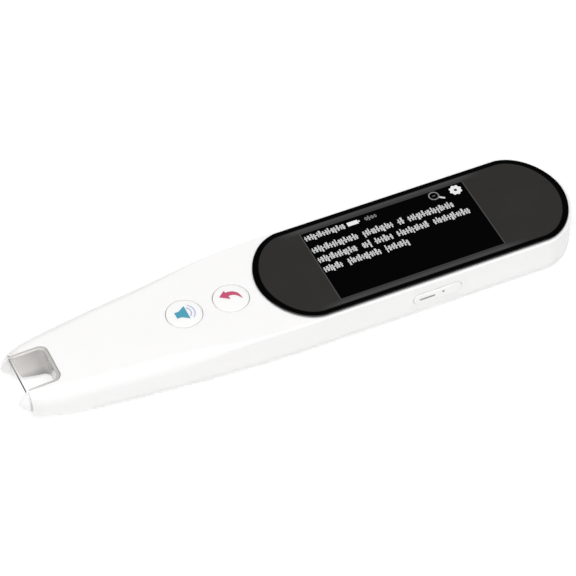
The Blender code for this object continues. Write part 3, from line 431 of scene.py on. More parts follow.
def glass_material():
    """Back-printed cover glass: deep black under polished glass, with the dark grey ink of the screen's mask inside a
    black border, a painted highlight band on the mask along the panel's sides, and the black of the panel behind it in
    its middle."""
    made, tree, shader, place = begin_material("back_printed_cover_glass", IOR=1.5, Roughness=0.04)
    # The mask is the glass's own shape, 1.6 mm in from its ends and 1.45 mm in from its sides.
    shape = place
    for operation, value in (("SUBTRACT", (GLASS_X * MM, 0, 0)), ("ABSOLUTE", (0, 0, 0)),
                             ("SUBTRACT", ((GLASS_LENGTH / 2 - GLASS_END) * MM, 0, 0)), ("MAXIMUM", (0, 0, 0)),
                             ("DIVIDE", ((GLASS_END - 1.6) * MM, (GLASS_WIDTH / 2 - 1.45) * MM, 1))):
        shape = node(tree, "ShaderNodeVectorMath", {"operation": operation}, i0=shape, i1=value)["Vector"]
    shape = node(tree, "ShaderNodeSeparateXYZ", Vector=shape)
    end = node(tree, "ShaderNodeMath", {"operation": "POWER"}, i0=shape["X"], i1=END_POWER)
    side = node(tree, "ShaderNodeMath", {"operation": "POWER"}, i0=shape["Y"], i1=END_POWER)
    both = node(tree, "ShaderNodeMath", {"operation": "ADD"}, i0=end["Value"], i1=side["Value"])
    in_mask = node(tree, "ShaderNodeMapRange", Value=both["Value"], From_Min=1.02, From_Max=0.98)["Result"]
    # Shares by the distance from the panel's middle in mm: a painted highlight band along its sides,
    # the paler frame just round it, and the panel itself.
    away = place
    for operation, value in (("SUBTRACT", (PANEL_X * MM, 0, 0)), ("ABSOLUTE", (0, 0, 0))):
        away = node(tree, "ShaderNodeVectorMath", {"operation": operation}, i0=away, i1=value)["Vector"]
    away = node(tree, "ShaderNodeSeparateXYZ", Vector=away)
    shares = []
    for no_x, full_x, no_y, full_y in ((27.0, 21.0, 11.3, 12.4), (21.66, 21.5, 11.5, 11.4), (21.4, 21.32, 11.39, 11.31)):
        along = node(tree, "ShaderNodeMapRange", Value=away["X"], From_Min=no_x * MM, From_Max=full_x * MM)
        across = node(tree, "ShaderNodeMapRange", Value=away["Y"], From_Min=no_y * MM, From_Max=full_y * MM)
        shares.append(node(tree, "ShaderNodeMath", {"operation": "MULTIPLY"}, i0=along["Result"], i1=across["Result"])["Value"])
    painted_highlight_band, frame_share, panel_share = shares
    cloud = node(tree, "ShaderNodeTexNoise", Vector=place, Scale=1 / (9 * MM), Detail=1.0)["Fac"]
    # The ground edge below the polished rim is a paler, duller grey.
    height = node(tree, "ShaderNodeSeparateXYZ", Vector=place)["Z"]
    edge = node(tree, "ShaderNodeMapRange", Value=height, From_Min=10.28 * MM, From_Max=10.22 * MM)["Result"]
    ink = linear("2e2d2c")
    # The 454545 band along the panel's sides is a painted highlight on the mask ink.
    for share, under, over in ((cloud, None, "333231"), (painted_highlight_band, None, "454545"), (frame_share, None, "4c4c4c"),
                               (in_mask, "020202", None), (panel_share, None, "010101"), (edge, None, "b8b8ba")):
        ink = node(tree, "ShaderNodeMix", {"data_type": "RGBA"}, i0=share, i6=linear(under) if under else ink,
                   i7=linear(over) if over else ink)[2]
    tree.links.new(ink, shader.inputs["Base Color"])
    dull = node(tree, "ShaderNodeMapRange", Value=edge, To_Min=0.04, To_Max=0.45)["Result"]
    tree.links.new(dull, shader.inputs["Roughness"])
    return made


cover_glass = glass_material()


def smoky_plastic():
    """Tinted polycarbonate, polished where light goes through it: warm grey, with painted shade that darkens it
    from the front of the notch to its rear, and more strongly towards its lower edge."""
    made, tree, shader, place = begin_material("polished_tinted_polycarbonate", IOR=1.58,
                                               Coat_Weight=0.4, Coat_Roughness=0.03)
    split = node(tree, "ShaderNodeSeparateXYZ", Vector=place)
    # Painted shade: the colour goes from dddad6 at the notch's front to bcbab8 at its rear.
    back = node(tree, "ShaderNodeMapRange", Value=split["X"], From_Min=-68.0 * MM, From_Max=-60.0 * MM)
    deep = node(tree, "ShaderNodeMix", {"data_type": "RGBA"}, i0=back["Result"], i6=linear("dddad6"), i7=linear("bcbab8"))
    # Painted shade: below 3 mm the colour darkens towards 84817e at the lower edge.
    painted_low_shade = node(tree, "ShaderNodeMapRange", Value=split["Z"], From_Min=3.0 * MM, From_Max=0.6 * MM, To_Max=0.8)
    tint = node(tree, "ShaderNodeMix", {"data_type": "RGBA"}, i0=painted_low_shade["Result"], i6=deep[2], i7=linear("84817e"))
    tree.links.new(tint[2], shader.inputs["Base Color"])
    haze = node(tree, "ShaderNodeTexNoise", Vector=place, Scale=1 / (3 * MM), Detail=2.0)
    gloss = node(tree, "ShaderNodeMapRange", Value=haze["Fac"], To_Min=0.14, To_Max=0.22)
    tree.links.new(gloss["Result"], shader.inputs["Roughness"])
    return made


smoky = smoky_plastic()


def fine_plastic(name, colour, shade, roughness):
    """Moulded plastic with the fine spark-eroded grain of its tool, which dulls the highlights."""
    made, tree, shader, place = begin_material(name, IOR=1.5)
    grain = node(tree, "ShaderNodeTexNoise", Vector=place, Scale=1 / (0.12 * MM), Detail=4.0)
    tint = node(tree, "ShaderNodeMix", {"data_type": "RGBA"}, i0=grain["Fac"], i6=linear(colour), i7=linear(shade))
    tree.links.new(tint[2], shader.inputs["Base Color"])
    gloss = node(tree, "ShaderNodeMapRange", Value=grain["Fac"], To_Min=roughness - 0.06, To_Max=roughness + 0.08)
    tree.links.new(gloss["Result"], shader.inputs["Roughness"])
    bump = node(tree, "ShaderNodeBump", Strength=0.25, Distance=0.01 * MM, Height=grain["Fac"])
    tree.links.new(bump["Normal"], shader.inputs["Normal"])
    return made


black_plastic = fine_plastic("spark_grained_black_abs", "17171a", "222225", 0.42)


def metal(name, colour, shade, roughness, grain_mm):
    """Sheet metal from the rolling mill: long fine streaks along the strip and a soft broad shine."""
    made, tree, shader, place = begin_material(name, Metallic=1.0)
    drawn = node(tree, "ShaderNodeMapping", Vector=place, Scale=(0.06, 1.0, 1.0))
    streak = node(tree, "ShaderNodeTexNoise", Vector=drawn["Vector"], Scale=1 / (grain_mm * MM), Detail=3.0)
    tint = node(tree, "ShaderNodeMix", {"data_type": "RGBA"}, i0=streak["Fac"], i6=linear(colour), i7=linear(shade))
    tree.links.new(tint[2], shader.inputs["Base Color"])
    gloss = node(tree, "ShaderNodeMapRange", Value=streak["Fac"], To_Min=roughness - 0.08, To_Max=roughness + 0.1)
    tree.links.new(gloss["Result"], shader.inputs["Roughness"])
    return made




def bar_material():
    """Polished acetal bar: near black, paler towards the far side where the window lights it."""
    made, tree, shader, place = begin_material("polished_dark_grey_acetal", IOR=1.48, Roughness=0.3)
    across = node(tree, "ShaderNodeSeparateXYZ", Vector=place)["Y"]
    far = node(tree, "ShaderNodeMapRange", {"interpolation_type": "SMOOTHSTEP"}, Value=across, From_Min=-2.5 * MM,
               From_Max=2.0 * MM)["Result"]
    tint = node(tree, "ShaderNodeMix", {"data_type": "RGBA"}, i0=far, i6=linear("303033"), i7=linear("8a8a8a"))
    tree.links.new(tint[2], shader.inputs["Base Color"])
    return made


stamped_steel = metal("rolled_stainless_steel", "c6c7c9", "b4b5b8", 0.3, 0.25)
plated_brass = metal("nickel_plated_socket_shell", "cfcfd0", "bcbdc0", 0.24, 0.4)


def board_material():
    """Solder-masked glass-fibre board: green lacquer, with paler copper lines faintly under it."""
    made, tree, shader, place = begin_material("solder_masked_glass_fibre", IOR=1.5, Roughness=0.38)
    lines = node(tree, "ShaderNodeTexBrick", {"offset": 0.5}, Vector=place, Scale=1 / (2.4 * MM),
                 Color1=linear("0f4a2a"), Color2=linear("0d4226"), Mortar=linear("1f6a3d"), Mortar_Size=0.05)
    tree.links.new(lines["Color"], shader.inputs["Base Color"])
    return made


def film_material():
    """Copper-clad polyimide film: clear amber with the darker strips of its copper lines."""
    made, tree, shader, place = begin_material("copper_clad_polyimide_film", IOR=1.6, Roughness=0.32)
    strips = node(tree, "ShaderNodeTexWave", {"bands_direction": "Y"}, Vector=place, Scale=1 / (8 * MM), Distortion=0.0)
    tint = node(tree, "ShaderNodeMix", {"data_type": "RGBA"}, i0=strips["Fac"], i6=linear("a4621f"), i7=linear("c07c2c"))
    tree.links.new(tint[2], shader.inputs["Base Color"])
    return made


def pouch_material():
    """Aluminium-laminate pouch of a lithium cell: matt silver with soft dents."""
    made, tree, shader, place = begin_material("aluminium_laminate_pouch", Metallic=0.85, Roughness=0.38)
    dents = node(tree, "ShaderNodeTexNoise", Vector=place, Scale=1 / (4 * MM), Detail=3.0)
    tint = node(tree, "ShaderNodeMix", {"data_type": "RGBA"}, i0=dents["Fac"], i6=linear("b9bbbe"), i7=linear("a5a7ab"))
    tree.links.new(tint[2], shader.inputs["Base Color"])
    bump = node(tree, "ShaderNodeBump", Strength=0.4, Distance=0.1 * MM, Height=dents["Fac"])
    tree.links.new(bump["Normal"], shader.inputs["Normal"])
    return made


def tinted_resin(name, colour, shade, roughness, ior):
    """Cast clear resin or glass of a small optical part: smooth, with a faint inner cloud."""
    made, tree, shader, place = begin_material(name, IOR=ior, Coat_Weight=0.6, Coat_Roughness=0.03)
    cloud = node(tree, "ShaderNodeTexNoise", Vector=place, Scale=1 / (0.8 * MM), Detail=2.0)
    tint = node(tree, "ShaderNodeMix", {"data_type": "RGBA"}, i0=cloud["Fac"], i6=linear(colour), i7=linear(shade))
    tree.links.new(tint[2], shader.inputs["Base Color"])
    gloss = node(tree, "ShaderNodeMapRange", Value=cloud["Fac"], To_Min=roughness, To_Max=roughness + 0.05)
    tree.links.new(gloss["Result"], shader.inputs["Roughness"])
    return made


def printed_ink(name, colour, shade, glow=0.0):
    """Pad-printed ink, or lit dots behind glass: flat colour with the faint edge mottle of a print."""
    made, tree, shader, place = begin_material(name, IOR=1.5, Roughness=0.3, Emission_Strength=glow)
    mottle = node(tree, "ShaderNodeTexNoise", Vector=place, Scale=1 / (0.5 * MM), Detail=3.0)
    tint = node(tree, "ShaderNodeMix", {"data_type": "RGBA"}, i0=mottle["Fac"], i6=linear(colour), i7=linear(shade))
    tree.links.new(tint[2], shader.inputs["Base Color"])
    tree.links.new(tint[2], shader.inputs["Emission Color"])
    return made


teal_ink = printed_ink("pad_printed_teal_ink", "4798b3", "57a5bd")
lavender_ink = printed_ink("pad_printed_lavender_ink", "a3aed2", "b3bdde")
crimson_ink = printed_ink("pad_printed_crimson_ink", "c04c6d", "cb5e7d")
mark_grey = printed_ink("pad_printed_grey_ink", "7d7d7f", "8a8a8c")
lit_text = printed_ink("lit_panel_dots_grey", "a6a6a6", "b0b0b0", 0.5)
lit_white = printed_ink("lit_panel_dots_white", "c4c4c4", "cccccc", 0.4)
lit_dim = printed_ink("lit_panel_dots_dim", "707070", "7a7a7a", 0.3)


cast_materials = {
    "white_shell": white_shell,
    "white_key": white_key,
    "cover_glass": cover_glass,
    "panel_glass": tinted_resin("bonded_panel_glass", "1a1b1f", "222327", 0.08, 1.52),
    "stamped_steel": stamped_steel,
    "smoky_plastic": smoky,
    "black_plastic": black_plastic,
    "circuit_board": board_material(),
    "flex_film": film_material(),
    "cell_pouch": pouch_material(),
    "lens_glass": tinted_resin("coated_lens_glass", "1b2440", "2b2346", 0.03, 1.6),
    "led_resin": tinted_resin("phosphor_filled_silicone", "e6d79a", "d9c884", 0.3, 1.45),
}
for part in frame["record"]["subparts"]:
    for holder in frame["nodes"][part["node"]].material_slots:
        holder.material = cast_materials[part["material_slot"]]

# The housing
upper = whole_body("moulded_top_shell")
hollow = ring_stack("hollow", body_rings(SIDE_WALL, lambda x: floor_at(x) + SIDE_WALL, lambda x: top_at(x) - ROOF_WALL),
                    strips=True)
under = box_at("under", (TIP_FLOOR_X, -20, -REACH), (TAIL_X + REACH, 20, PARTING_HEIGHT + SEAM_GAP / 2))
ahead = box_at("ahead", (TOE_X - REACH, -20, -REACH), (SHELL_FRONT, 20, 14))
changed(upper, "DIFFERENCE", hollow, under, ahead)
level = lambda x: SHELL_HEIGHT
changed(upper, "DIFFERENCE", flared("recess", lambda grow: pill(GLASS_GAP + grow), 0.15, level, 0.12),
        plate("seat", pill(0.04), RECESS_FLOOR, SHELL_HEIGHT))
for key_x in (READ_X, BACK_X):
    changed(upper, "DIFFERENCE", flared("hole", lambda grow: circle_at(key_x, BUTTON_RADIUS + KEY_GAP + grow), 4.0,
                                        top_at, 0.12))
notch_rings = []
for height in (-REACH, floor_at(NOTCH_X), 7.4):
    notch_rings.append([(x, y, height) for x, y in notch_outline(0, 0, NOTCH_CORNER, height)])
for step in range(5):
    angle = step / 4 * pi / 2
    spread = 0.22 * (1 - cos(angle))
    ring = notch_outline(-spread, -spread, NOTCH_CORNER + spread, 8.6)
    notch_rings.append([(x, y, top_at(max(x, SEAM_X)) - 0.22 * (1 - sin(angle))) for x, y in ring])
notch_rings.append([(x, y, z + REACH) for x, y, z in notch_rings[-1]])
changed(upper, "DIFFERENCE", ring_stack("notch", notch_rings))


def on_near_side(name, outline, inner, outer):
    """An outline in x and z raised on the near side, between two distances from the middle."""
    piece = plate(name, outline, inner, outer)
    bpy.ops.object.mode_set(mode="EDIT")
    bpy.ops.mesh.select_all(action="SELECT")
    form = bmesh.from_edit_mesh(piece.data)
    for point in form.verts:
        point.co = (point.co.x, -point.co.z, point.co.y)
    return closed(piece)


def rocker_outline(grow):
    """The rocker key seen from the side."""
    return round_corners((ROCKER_X - ROCKER_LENGTH / 2 - grow, ROCKER_LEVEL - ROCKER_HEIGHT / 2 - grow),
                         (ROCKER_X + ROCKER_LENGTH / 2 + grow, ROCKER_LEVEL + ROCKER_HEIGHT / 2 + grow),
                         ROCKER_HEIGHT / 2 + grow, 14)


def socket_outline(grow, x):
    """The charging socket's flat oval at x."""
    half_w, half_h = 4.47 + grow, 1.6 + grow
    return [(x, y, z) for y, z in round_corners((-half_w, USB_LEVEL - half_h), (half_w, USB_LEVEL + half_h), half_h, 10)]


changed(upper, "DIFFERENCE", on_near_side("slot", rocker_outline(0.1), HALF_WIDTH - SIDE_WALL - 1, HALF_WIDTH + REACH))
mouth = []
for step in range(5):
    angle = step / 4 * pi / 2
    mouth.append(socket_outline(GAP + 0.25 * (1 - cos(angle)), TAIL_X - 0.25 * (1 - sin(angle))))
mouth = [socket_outline(GAP, USB_END - SIDE_WALL)] + mouth + [socket_outline(GAP + 0.25, TAIL_X + REACH)]
changed(upper, "DIFFERENCE", ring_stack("mouth", mouth))


def tip_core(name, inset, front, rear):
    """The tip's own form, smaller all round by an inset, between two places along the pen."""
    core = ring_stack(name, body_rings(inset, lambda x: floor_at(x) + inset, lambda x: top_at(x) - inset,
                                       lambda x: BOTTOM_RADIUS - inset, lambda x: SHOULDER_RADIUS - inset), strips=True)
    return changed(core, "DIFFERENCE", box_at("past", (rear, -20, -REACH), (TAIL_X + REACH, 20, 14)),
                   box_at("ahead", (TOE_X - REACH, -20, -REACH), (front, 20, 14)))


# Inside the prongs' front rim the wall steps back, for the spigots of the nib's feet.
changed(upper, "DIFFERENCE", tip_core("rebate", 0.5, TOE_X, SHELL_FRONT + 1.3))


def liner_form(name, outer, sunk):
    """The wall round the notch: outer is how far it stays off the shell, sunk how far below the shell's top."""
    stack = []
    for off, height in ((0.03, -REACH), (0.03, floor_at(NOTCH_X)), (0.03, 8.0), (outer, 8.0), (outer, 11.0)):
        ring = notch_outline(off, off, NOTCH_CORNER - off, height)
        # A ledge under the open joint round the top keeps it shallow.
        stack.append([(x, y, top_at(max(x, SEAM_X)) - 0.75 if height == 8.0 else height) for x, y in ring])
    form = ring_stack(name, stack)
    changed(form, "INTERSECT", ring_stack("trim", body_rings(0, floor_at, lambda x: top_at(x) - sunk,
                                                             lambda x: BOTTOM_RADIUS, shoulder_at), strips=True))
    inside = []
    for height in (-REACH, floor_at(NOTCH_X)):
        inside.append([(x, y, height) for x, y in notch_outline(1.45, 0.65, 1.5, height)])
    for share in (0.5, 1.0):
        height = floor_at(NOTCH_X) + (7.9 - floor_at(NOTCH_X)) * share
        side = 1.45 + (0.84 - 1.45) * share
        inside.append([(x, y, height) for x, y in notch_outline(side, 0.65 + 0.15 * share, 1.6, height)])
    for step in range(5):
        angle = step / 4 * pi / 2
        spread = 0.35 * (1 - cos(angle))
        ring = notch_outline(0.8 - spread, 0.8 - spread, 1.6 + spread, 8.6)
        inside.append([(x, y, top_at(max(x, SEAM_X)) - 0.4 - sunk + 0.35 * sin(angle)) for x, y in ring])
    inside.append([(x, y, z + REACH) for x, y, z in inside[-1]])
    # The walls thin out towards the seam, so that the mouth is a funnel.
    mouth_half, throat_half, throat_x = NOTCH_WIDTH / 2 - 0.35, NOTCH_WIDTH / 2 - 1.5, SHELL_FRONT + 2.6
    funnel = [(throat_x, -throat_half), (throat_x, throat_half), (SHELL_FRONT, mouth_half), (TOE_X - REACH, mouth_half),
              (TOE_X - REACH, -mouth_half), (SHELL_FRONT, -mouth_half)]
    return changed(form, "DIFFERENCE", ring_stack("inside", inside), plate("funnel", funnel, -REACH - 1, 12))


# The liner's front leans back from the seam; below it the shell itself closes the inner sides of the prongs.
rake_top = top_at(SEAM_X)
rake_foot = SHELL_FRONT + (rake_top + REACH) * 2.2 / (rake_top - 0.66)
cheeks = liner_form("cheeks", 0.06, 0.3)
changed(cheeks, "DIFFERENCE",
        on_near_side("behind", [(rake_foot, -REACH), (-50, -REACH), (-50, 12), (SHELL_FRONT, 12), (SHELL_FRONT, rake_top)],
                     -20, 20),
        box_at("before", (TOE_X - REACH, -20, -REACH), (SHELL_FRONT, 20, 14)))
joined([upper, cheeks])
finished(upper, "housing", white_shell, "upper_shell", slot="white_shell", angle=32)

lower = whole_body("moulded_back_cover")
changed(lower, "DIFFERENCE", box_at("above", (TOE_X - REACH, -20, PARTING_HEIGHT - SEAM_GAP / 2), (TAIL_X + REACH, 20, 14)))
tongue = ring_stack("tongue", body_rings(SIDE_WALL + GAP, lambda x: floor_at(x) + FLOOR_WALL / 2, lambda x: 3.2), True)
changed(lower, "UNION", tongue)
inner = ring_stack("inner", body_rings(SIDE_WALL + GAP + 0.8, lambda x: floor_at(x) + FLOOR_WALL, lambda x: 12.0), True)
changed(lower, "DIFFERENCE", inner, box_at("front", (TOE_X - REACH, -20, -REACH), (TIP_FLOOR_X + SEAM_GAP, 20, 12)),
        box_at("socket_pass", (63.2, -4.77, 2.3), (TAIL_X - SIDE_WALL - GAP / 2, 4.77, 6.0)))
speaker_low, speaker_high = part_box("speaker")
grille_x = (speaker_low.x + speaker_high.x) / 2 / MM
for number in range(6):
    x = grille_x + (number - 2.5) * 1.7
    slot = round_corners((x - 0.4, -3.5), (x + 0.4, 3.5), 0.4, 8)
    changed(lower, "DIFFERENCE", plate("grille", slot, -REACH, FLOOR_WALL + GAP))
finished(lower, "housing", white_shell, "lower_shell", slot="white_shell", angle=32)

# The screen glass
glass_rings = [[(x, y, GLASS_BOTTOM) for x, y in pill()]]
for step in range(7):
    angle = step / 6 * pi / 2
    glass_rings.append([(x, y, GLASS_TOP - 0.2 * (1 - sin(angle))) for x, y in pill(-0.2 * (1 - cos(angle)))])
finished(ring_stack("cover_glass", glass_rings), "housing", cover_glass, "touch_glass", slot="cover_glass", angle=25)


def round_key(name, x, body, node_name):
    """A round key: crowned cap with a round edge, the flange that keeps it in, and its stem."""
    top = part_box(node_name)[1].z / MM - 0.12
    flange_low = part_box(node_name)[0].z / MM + 0.25
    rings = [circle_at(x, radius) for radius in (1.2, 1.2, 5.1, 5.1, BUTTON_RADIUS)]
    heights = [flange_low - 0.25, flange_low, flange_low, flange_low + 0.7, flange_low + 0.7]
    for step in range(6):
        angle = step / 5 * pi / 2
        rings.append(circle_at(x, BUTTON_RADIUS - 0.3 * (1 - cos(angle))))
        heights.append(top - 0.3 * (1 - sin(angle)))
    for share in (0.85, 0.7, 0.5, 0.3, 0.1):
        rings.append(circle_at(x, (BUTTON_RADIUS - 0.3) * share))
        heights.append(top + 0.115 * (1 - share ** 2))
    stack = [[(px, py, z) for px, py in ring] for ring, z in zip(rings, heights)]
    return finished(ring_stack(name, stack), body, white_key, node_name, slot="white_key", angle=35), top


read_cap, read_top = round_key("read_key_cap", READ_X, "read_key", "read_button")
back_cap, back_top = round_key("back_key_cap", BACK_X, "back_key", "back_button")

# The signs printed on the keys: a loudspeaker with two sound waves, and a bent arrow


def arc_band(x, y, radius, width, low, high, steps=14):
    """A bent band round a point, between two angles in degrees."""
    angles = [radians(low + (high - low) * step / steps) for step in range(steps + 1)]
    outer = [(x + (radius + width / 2) * cos(a), y + (radius + width / 2) * sin(a)) for a in angles]
    return outer + [(x + (radius - width / 2) * cos(a), y + (radius - width / 2) * sin(a)) for a in reversed(angles)]


def through(points, steps=6):
    """A smooth open line through points."""
    line = []
    for i in range(len(points) - 1):
        p = [Vector(points[max(0, min(len(points) - 1, i + k))]) for k in (-1, 0, 1, 2)]
        for step in range(steps):
            t = step / steps
            line.append(tuple(0.5 * (2 * p[1] + (p[2] - p[0]) * t + (2 * p[0] - 5 * p[1] + 4 * p[2] - p[3]) * t ** 2
                                     + (3 * p[1] - p[0] - 3 * p[2] + p[3]) * t ** 3)))
    return line + [points[-1]]


def printed_on(name, outline, key_x, cap_top, material, body):
    """A sign of hardly any thickness that follows the crown of a key's cap."""
    crown = [[(x, y, cap_top - 0.35) for x, y in circle_at(key_x, BUTTON_RADIUS - 0.35)]]
    for share in (1.0, 0.85, 0.7, 0.5, 0.3, 0.1):
        radius = (BUTTON_RADIUS - 0.3) * share - (0.05 if share == 1.0 else 0)
        crown.append([(x, y, cap_top + 0.115 * (1 - share ** 2) + 0.012) for x, y in circle_at(key_x, radius)])
    sign = plate(name, [(x + key_x, y) for x, y in outline], cap_top - 0.1, cap_top + 1.0)
    changed(sign, "INTERSECT", ring_stack("crown", crown))
    return finished(sign, body, material, slot="white_key")


printed_on("loudspeaker_sign", [(0.75, 2.1), (-1.0, 0.95), (-2.1, 0.95), (-2.1, -0.95), (-1.0, -0.95), (0.75, -2.1)],
           READ_X, read_top, teal_ink, "read_key")
for number, radius in enumerate((1.8, 2.65)):
    printed_on("sound_wave", arc_band(-0.1, 0, radius, 0.26, -50, 50), READ_X, read_top, lavender_ink, "read_key")
shaft_above = through([(-0.6, 1.9), (0.3, 1.85), (1.2, 1.55), (1.95, 0.85), (2.35, -0.1), (2.45, -1.4)])
shaft_below = through([(2.45, -1.4), (1.85, -0.35), (1.2, 0.3), (0.4, 0.6), (-0.35, 0.6)])
printed_on("bent_arrow_sign", [(-2.5, 1.15), (-0.75, 2.6)] + shaft_above + shaft_below[1:] + [(-0.3, -0.45)],
           BACK_X, back_top, crimson_ink, "back_key")

# The volume rocker
rocker_rings = []
for inset, y in [(0, 13.2), (0, 15.23)] + [(0.3 * (1 - cos(i / 5 * pi / 2)), 15.23 + 0.3 * sin(i / 5 * pi / 2))
                                           for i in range(1, 6)]:
    rocker_rings.append([(x, -y, z) for x, z in rocker_outline(-inset)])
rocker = ring_stack("volume_key_cap", rocker_rings)
flange = on_near_side("flange", round_corners((ROCKER_X - 7.25, 3.65), (ROCKER_X + 7.25, 7.95), 1.0), 13.0, 13.6)
changed(rocker, "UNION", flange)
for way in (-1, 1):
    push_x = ROCKER_X + way * 4.2
    changed(rocker, "UNION", box_at("push", (push_x - 0.5, -13.3, 5.3), (push_x + 0.5, -12.75, 6.3)))
finished(rocker, "rocker", white_key, "volume_rocker", slot="white_key", angle=32)
dash = round_corners((25.5, 5.62), (29.5, 6.08), 0.2, 4)
finished(on_near_side("rocker_dash_mark", dash, 15.45, 15.545), "rocker", mark_grey, slot="white_key")
dot = [(31.67 + 0.3 * cos(i / 16 * pi * 2), 6.2 + 0.3 * sin(i / 16 * pi * 2)) for i in range(16)]
finished(on_near_side("rocker_dot_mark", dot, 15.45, 15.545), "rocker", mark_grey, slot="white_key")

# The window liner and the guide bar
liner = liner_form("tinted_window_liner", 0.2, 0.2)
rake = on_near_side("rake", [(TOE_X - REACH, -REACH), (rake_foot + 0.05, -REACH), (SHELL_FRONT + 0.05, rake_top),
                             (SHELL_FRONT + 0.05, 12), (TOE_X - REACH, 12)], -20, 20)
changed(liner, "DIFFERENCE", rake)
finished(liner, "housing", smoky, "viewing_window", slot="smoky_plastic", angle=32)

bar_low, bar_high = (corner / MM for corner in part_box("guide_bar"))
finished(box_at("dark_guide_bar", bar_low + Vector((0.1, 0, 0.6)), bar_high - Vector((0.08, 0, 0)), 0.08, 3),
         "housing", bar_material(), "guide_bar", slot="black_plastic", angle=40)

# The sprung nib
nib = whole_body("moulded_nib_feet")
changed(nib, "DIFFERENCE", box_at("behind", (NIB_BACK, -20, -REACH), (TAIL_X + REACH, 20, 14)),
        box_at("between", (TOE_X - REACH, -NOTCH_WIDTH / 2, -REACH), (NIB_BACK + REACH, NOTCH_WIDTH / 2, 14)))
spigots = tip_core("spigots", 0.62, NIB_BACK - 0.5, SHELL_FRONT + 0.8)
changed(spigots, "DIFFERENCE", box_at("middle", (TOE_X - REACH, -NOTCH_WIDTH / 2 - 0.1, -REACH),
                                      (TAIL_X, NOTCH_WIDTH / 2 + 0.1, 14)))
changed(nib, "UNION", spigots)
arm_outer = plan_half(SHELL_FRONT) - SIDE_WALL - 0.35
for way in (-1, 1):
    near, far = sorted((way * (NOTCH_WIDTH / 2 + 0.1), way * arm_outer))
    changed(nib, "UNION", box_at("arm", (NIB_BACK - 0.6, near, 4.22), (-57.65, far, 6.4)),
            box_at("leg", (-58.85, near + 0.1, 2.2), (-57.75, far - 0.1, 5.3)))
changed(nib, "UNION", box_at("bridge", (-58.95, -6.3, 2.1), (-57.65, 6.3, 3.4)))
finished(nib, "nib", white_key, "scan_nib", slot="white_key", angle=32)

# The charging socket
socket = ring_stack("formed_socket_shell", [socket_outline(0, 63.2), socket_outline(0, USB_END - 0.08),
                                            socket_outline(-0.08, USB_END)])
changed(socket, "DIFFERENCE", ring_stack("bore", [socket_outline(-0.3, 63.8), socket_outline(-0.3, USB_END + REACH)]))
finished(socket, "housing", plated_brass, "usb_c_socket", slot="stamped_steel", angle=32)
finished(box_at("socket_tongue", (63.5, -3.3, USB_LEVEL - 0.35), (68.8, 3.3, USB_LEVEL + 0.35), 0.1, 2), "housing",
         black_plastic, slot="black_plastic")

# What the panel shows: rows of letter-like strokes that spell nothing, a battery, a magnifier and a gear


def lit(name, outlines, material, low=GLASS_TOP - 0.005, high=GLASS_TOP + 0.008):
    """Flat signs in panel millimetres, from the panel's far corner at the tip end, joined into one piece."""
    pieces = []
    for outline in outlines:
        placed = [(PANEL_X - PANEL_LENGTH / 2 + u, PANEL_WIDTH / 2 - v) for u, v in outline]
        pieces.append(plate(name, placed, low, high))
    return finished(joined(pieces), "housing", material, slot="panel_glass")


def word(start, end, middle, tall):
    """Upright strokes of changing height on a thin bar: it reads as print from afar and as nothing close up."""
    strokes = [[(start, middle + 0.14), (end, middle + 0.14), (end, middle - 0.16), (start, middle - 0.16)]]
    count = max(2, round((end - start) / 0.74))
    for number in range(count):
        turn = number + int(start * 5)
        u = start + (end - start) * (number + 0.5) / count + (0.07, -0.06, 0.0, 0.05, -0.08)[turn % 5]
        half = (0.22, 0.16, 0.27, 0.19)[turn % 4]
        rise = (0.5, 0.3, 0.34, 0.46, 0.31, 0.36, 0.5, 0.28, 0.33)[turn % 9] * tall
        fall = (0.34, 0.36, 0.32, 0.36, 0.5, 0.34, 0.3)[turn % 7] * tall
        strokes.append([(u - half, middle + fall), (u + half, middle + fall), (u + half, middle - rise), (u - half, middle - rise)])
    return strokes


rows = ((0.265, 2.5, ((0, 0.288), (0.310, 0.503), (0.524, 0.572), (0.588, 0.878))),
        (0.415, 2.5, ((0, 0.244), (0.269, 0.330), (0.346, 0.4625), (0.484, 0.685), (0.708, 0.942))),
        (0.558, 2.5, ((0, 0.12), (0.146, 0.353), (0.375, 0.526))))
text = []
for v, tall, words in rows:
    for start, end in words:
        text += word(start * PANEL_LENGTH + 0.3, end * PANEL_LENGTH, v * PANEL_WIDTH, tall)
text += word(0.3, 0.255 * PANEL_LENGTH, 0.08 * PANEL_WIDTH, 2.3)
lit("lit_rows", text, lit_text)
lit("lit_small_word", word(0.375 * PANEL_LENGTH, 0.45 * PANEL_LENGTH, 0.075 * PANEL_WIDTH, 1.5), lit_dim)
battery = (0.27 * PANEL_LENGTH, 0.335 * PANEL_LENGTH, 0.075 * PANEL_WIDTH)
lit("lit_battery_sign", [[(battery[0], battery[2] + 0.62), (battery[1], battery[2] + 0.62), (battery[1], battery[2] - 0.62),
                          (battery[0], battery[2] - 0.62)],
                         [(battery[1] + 0.1, battery[2] + 0.28), (battery[1] + 0.45, battery[2] + 0.28),
                          (battery[1] + 0.45, battery[2] - 0.28), (battery[1] + 0.1, battery[2] - 0.28)]], lit_white)
lens_u, lens_v = 0.808 * PANEL_LENGTH, 0.064 * PANEL_WIDTH + 0.15
bands = [[(lens_u + 1.35 * cos(a) * k, lens_v + 1.35 * sin(a) * k) for a, k in
          [(radians(low + 3 * i), 1.0) for i in range(31)] + [(radians(low + 90 - 3 * i), 0.78) for i in range(31)]]
         for low in (0, 90, 180, 270)]
bands.append([(lens_u + 0.35, lens_v - 0.08), (lens_u + 0.35, lens_v + 0.08), (lens_u - 0.35, lens_v + 0.08),
              (lens_u - 0.35, lens_v - 0.08)])
lit("lit_magnifier_ring", [list(reversed(band)) for band in bands], lit_dim)
lit("lit_magnifier_handle", [[(lens_u + 1.2, lens_v + 0.65), (lens_u + 2.35, lens_v + 1.5), (lens_u + 2.05, lens_v + 1.95),
                              (lens_u + 0.85, lens_v + 1.08)]], lit_text)
gear_u, gear_v = 0.940 * PANEL_LENGTH, 0.082 * PANEL_WIDTH + 0.1
teeth = []
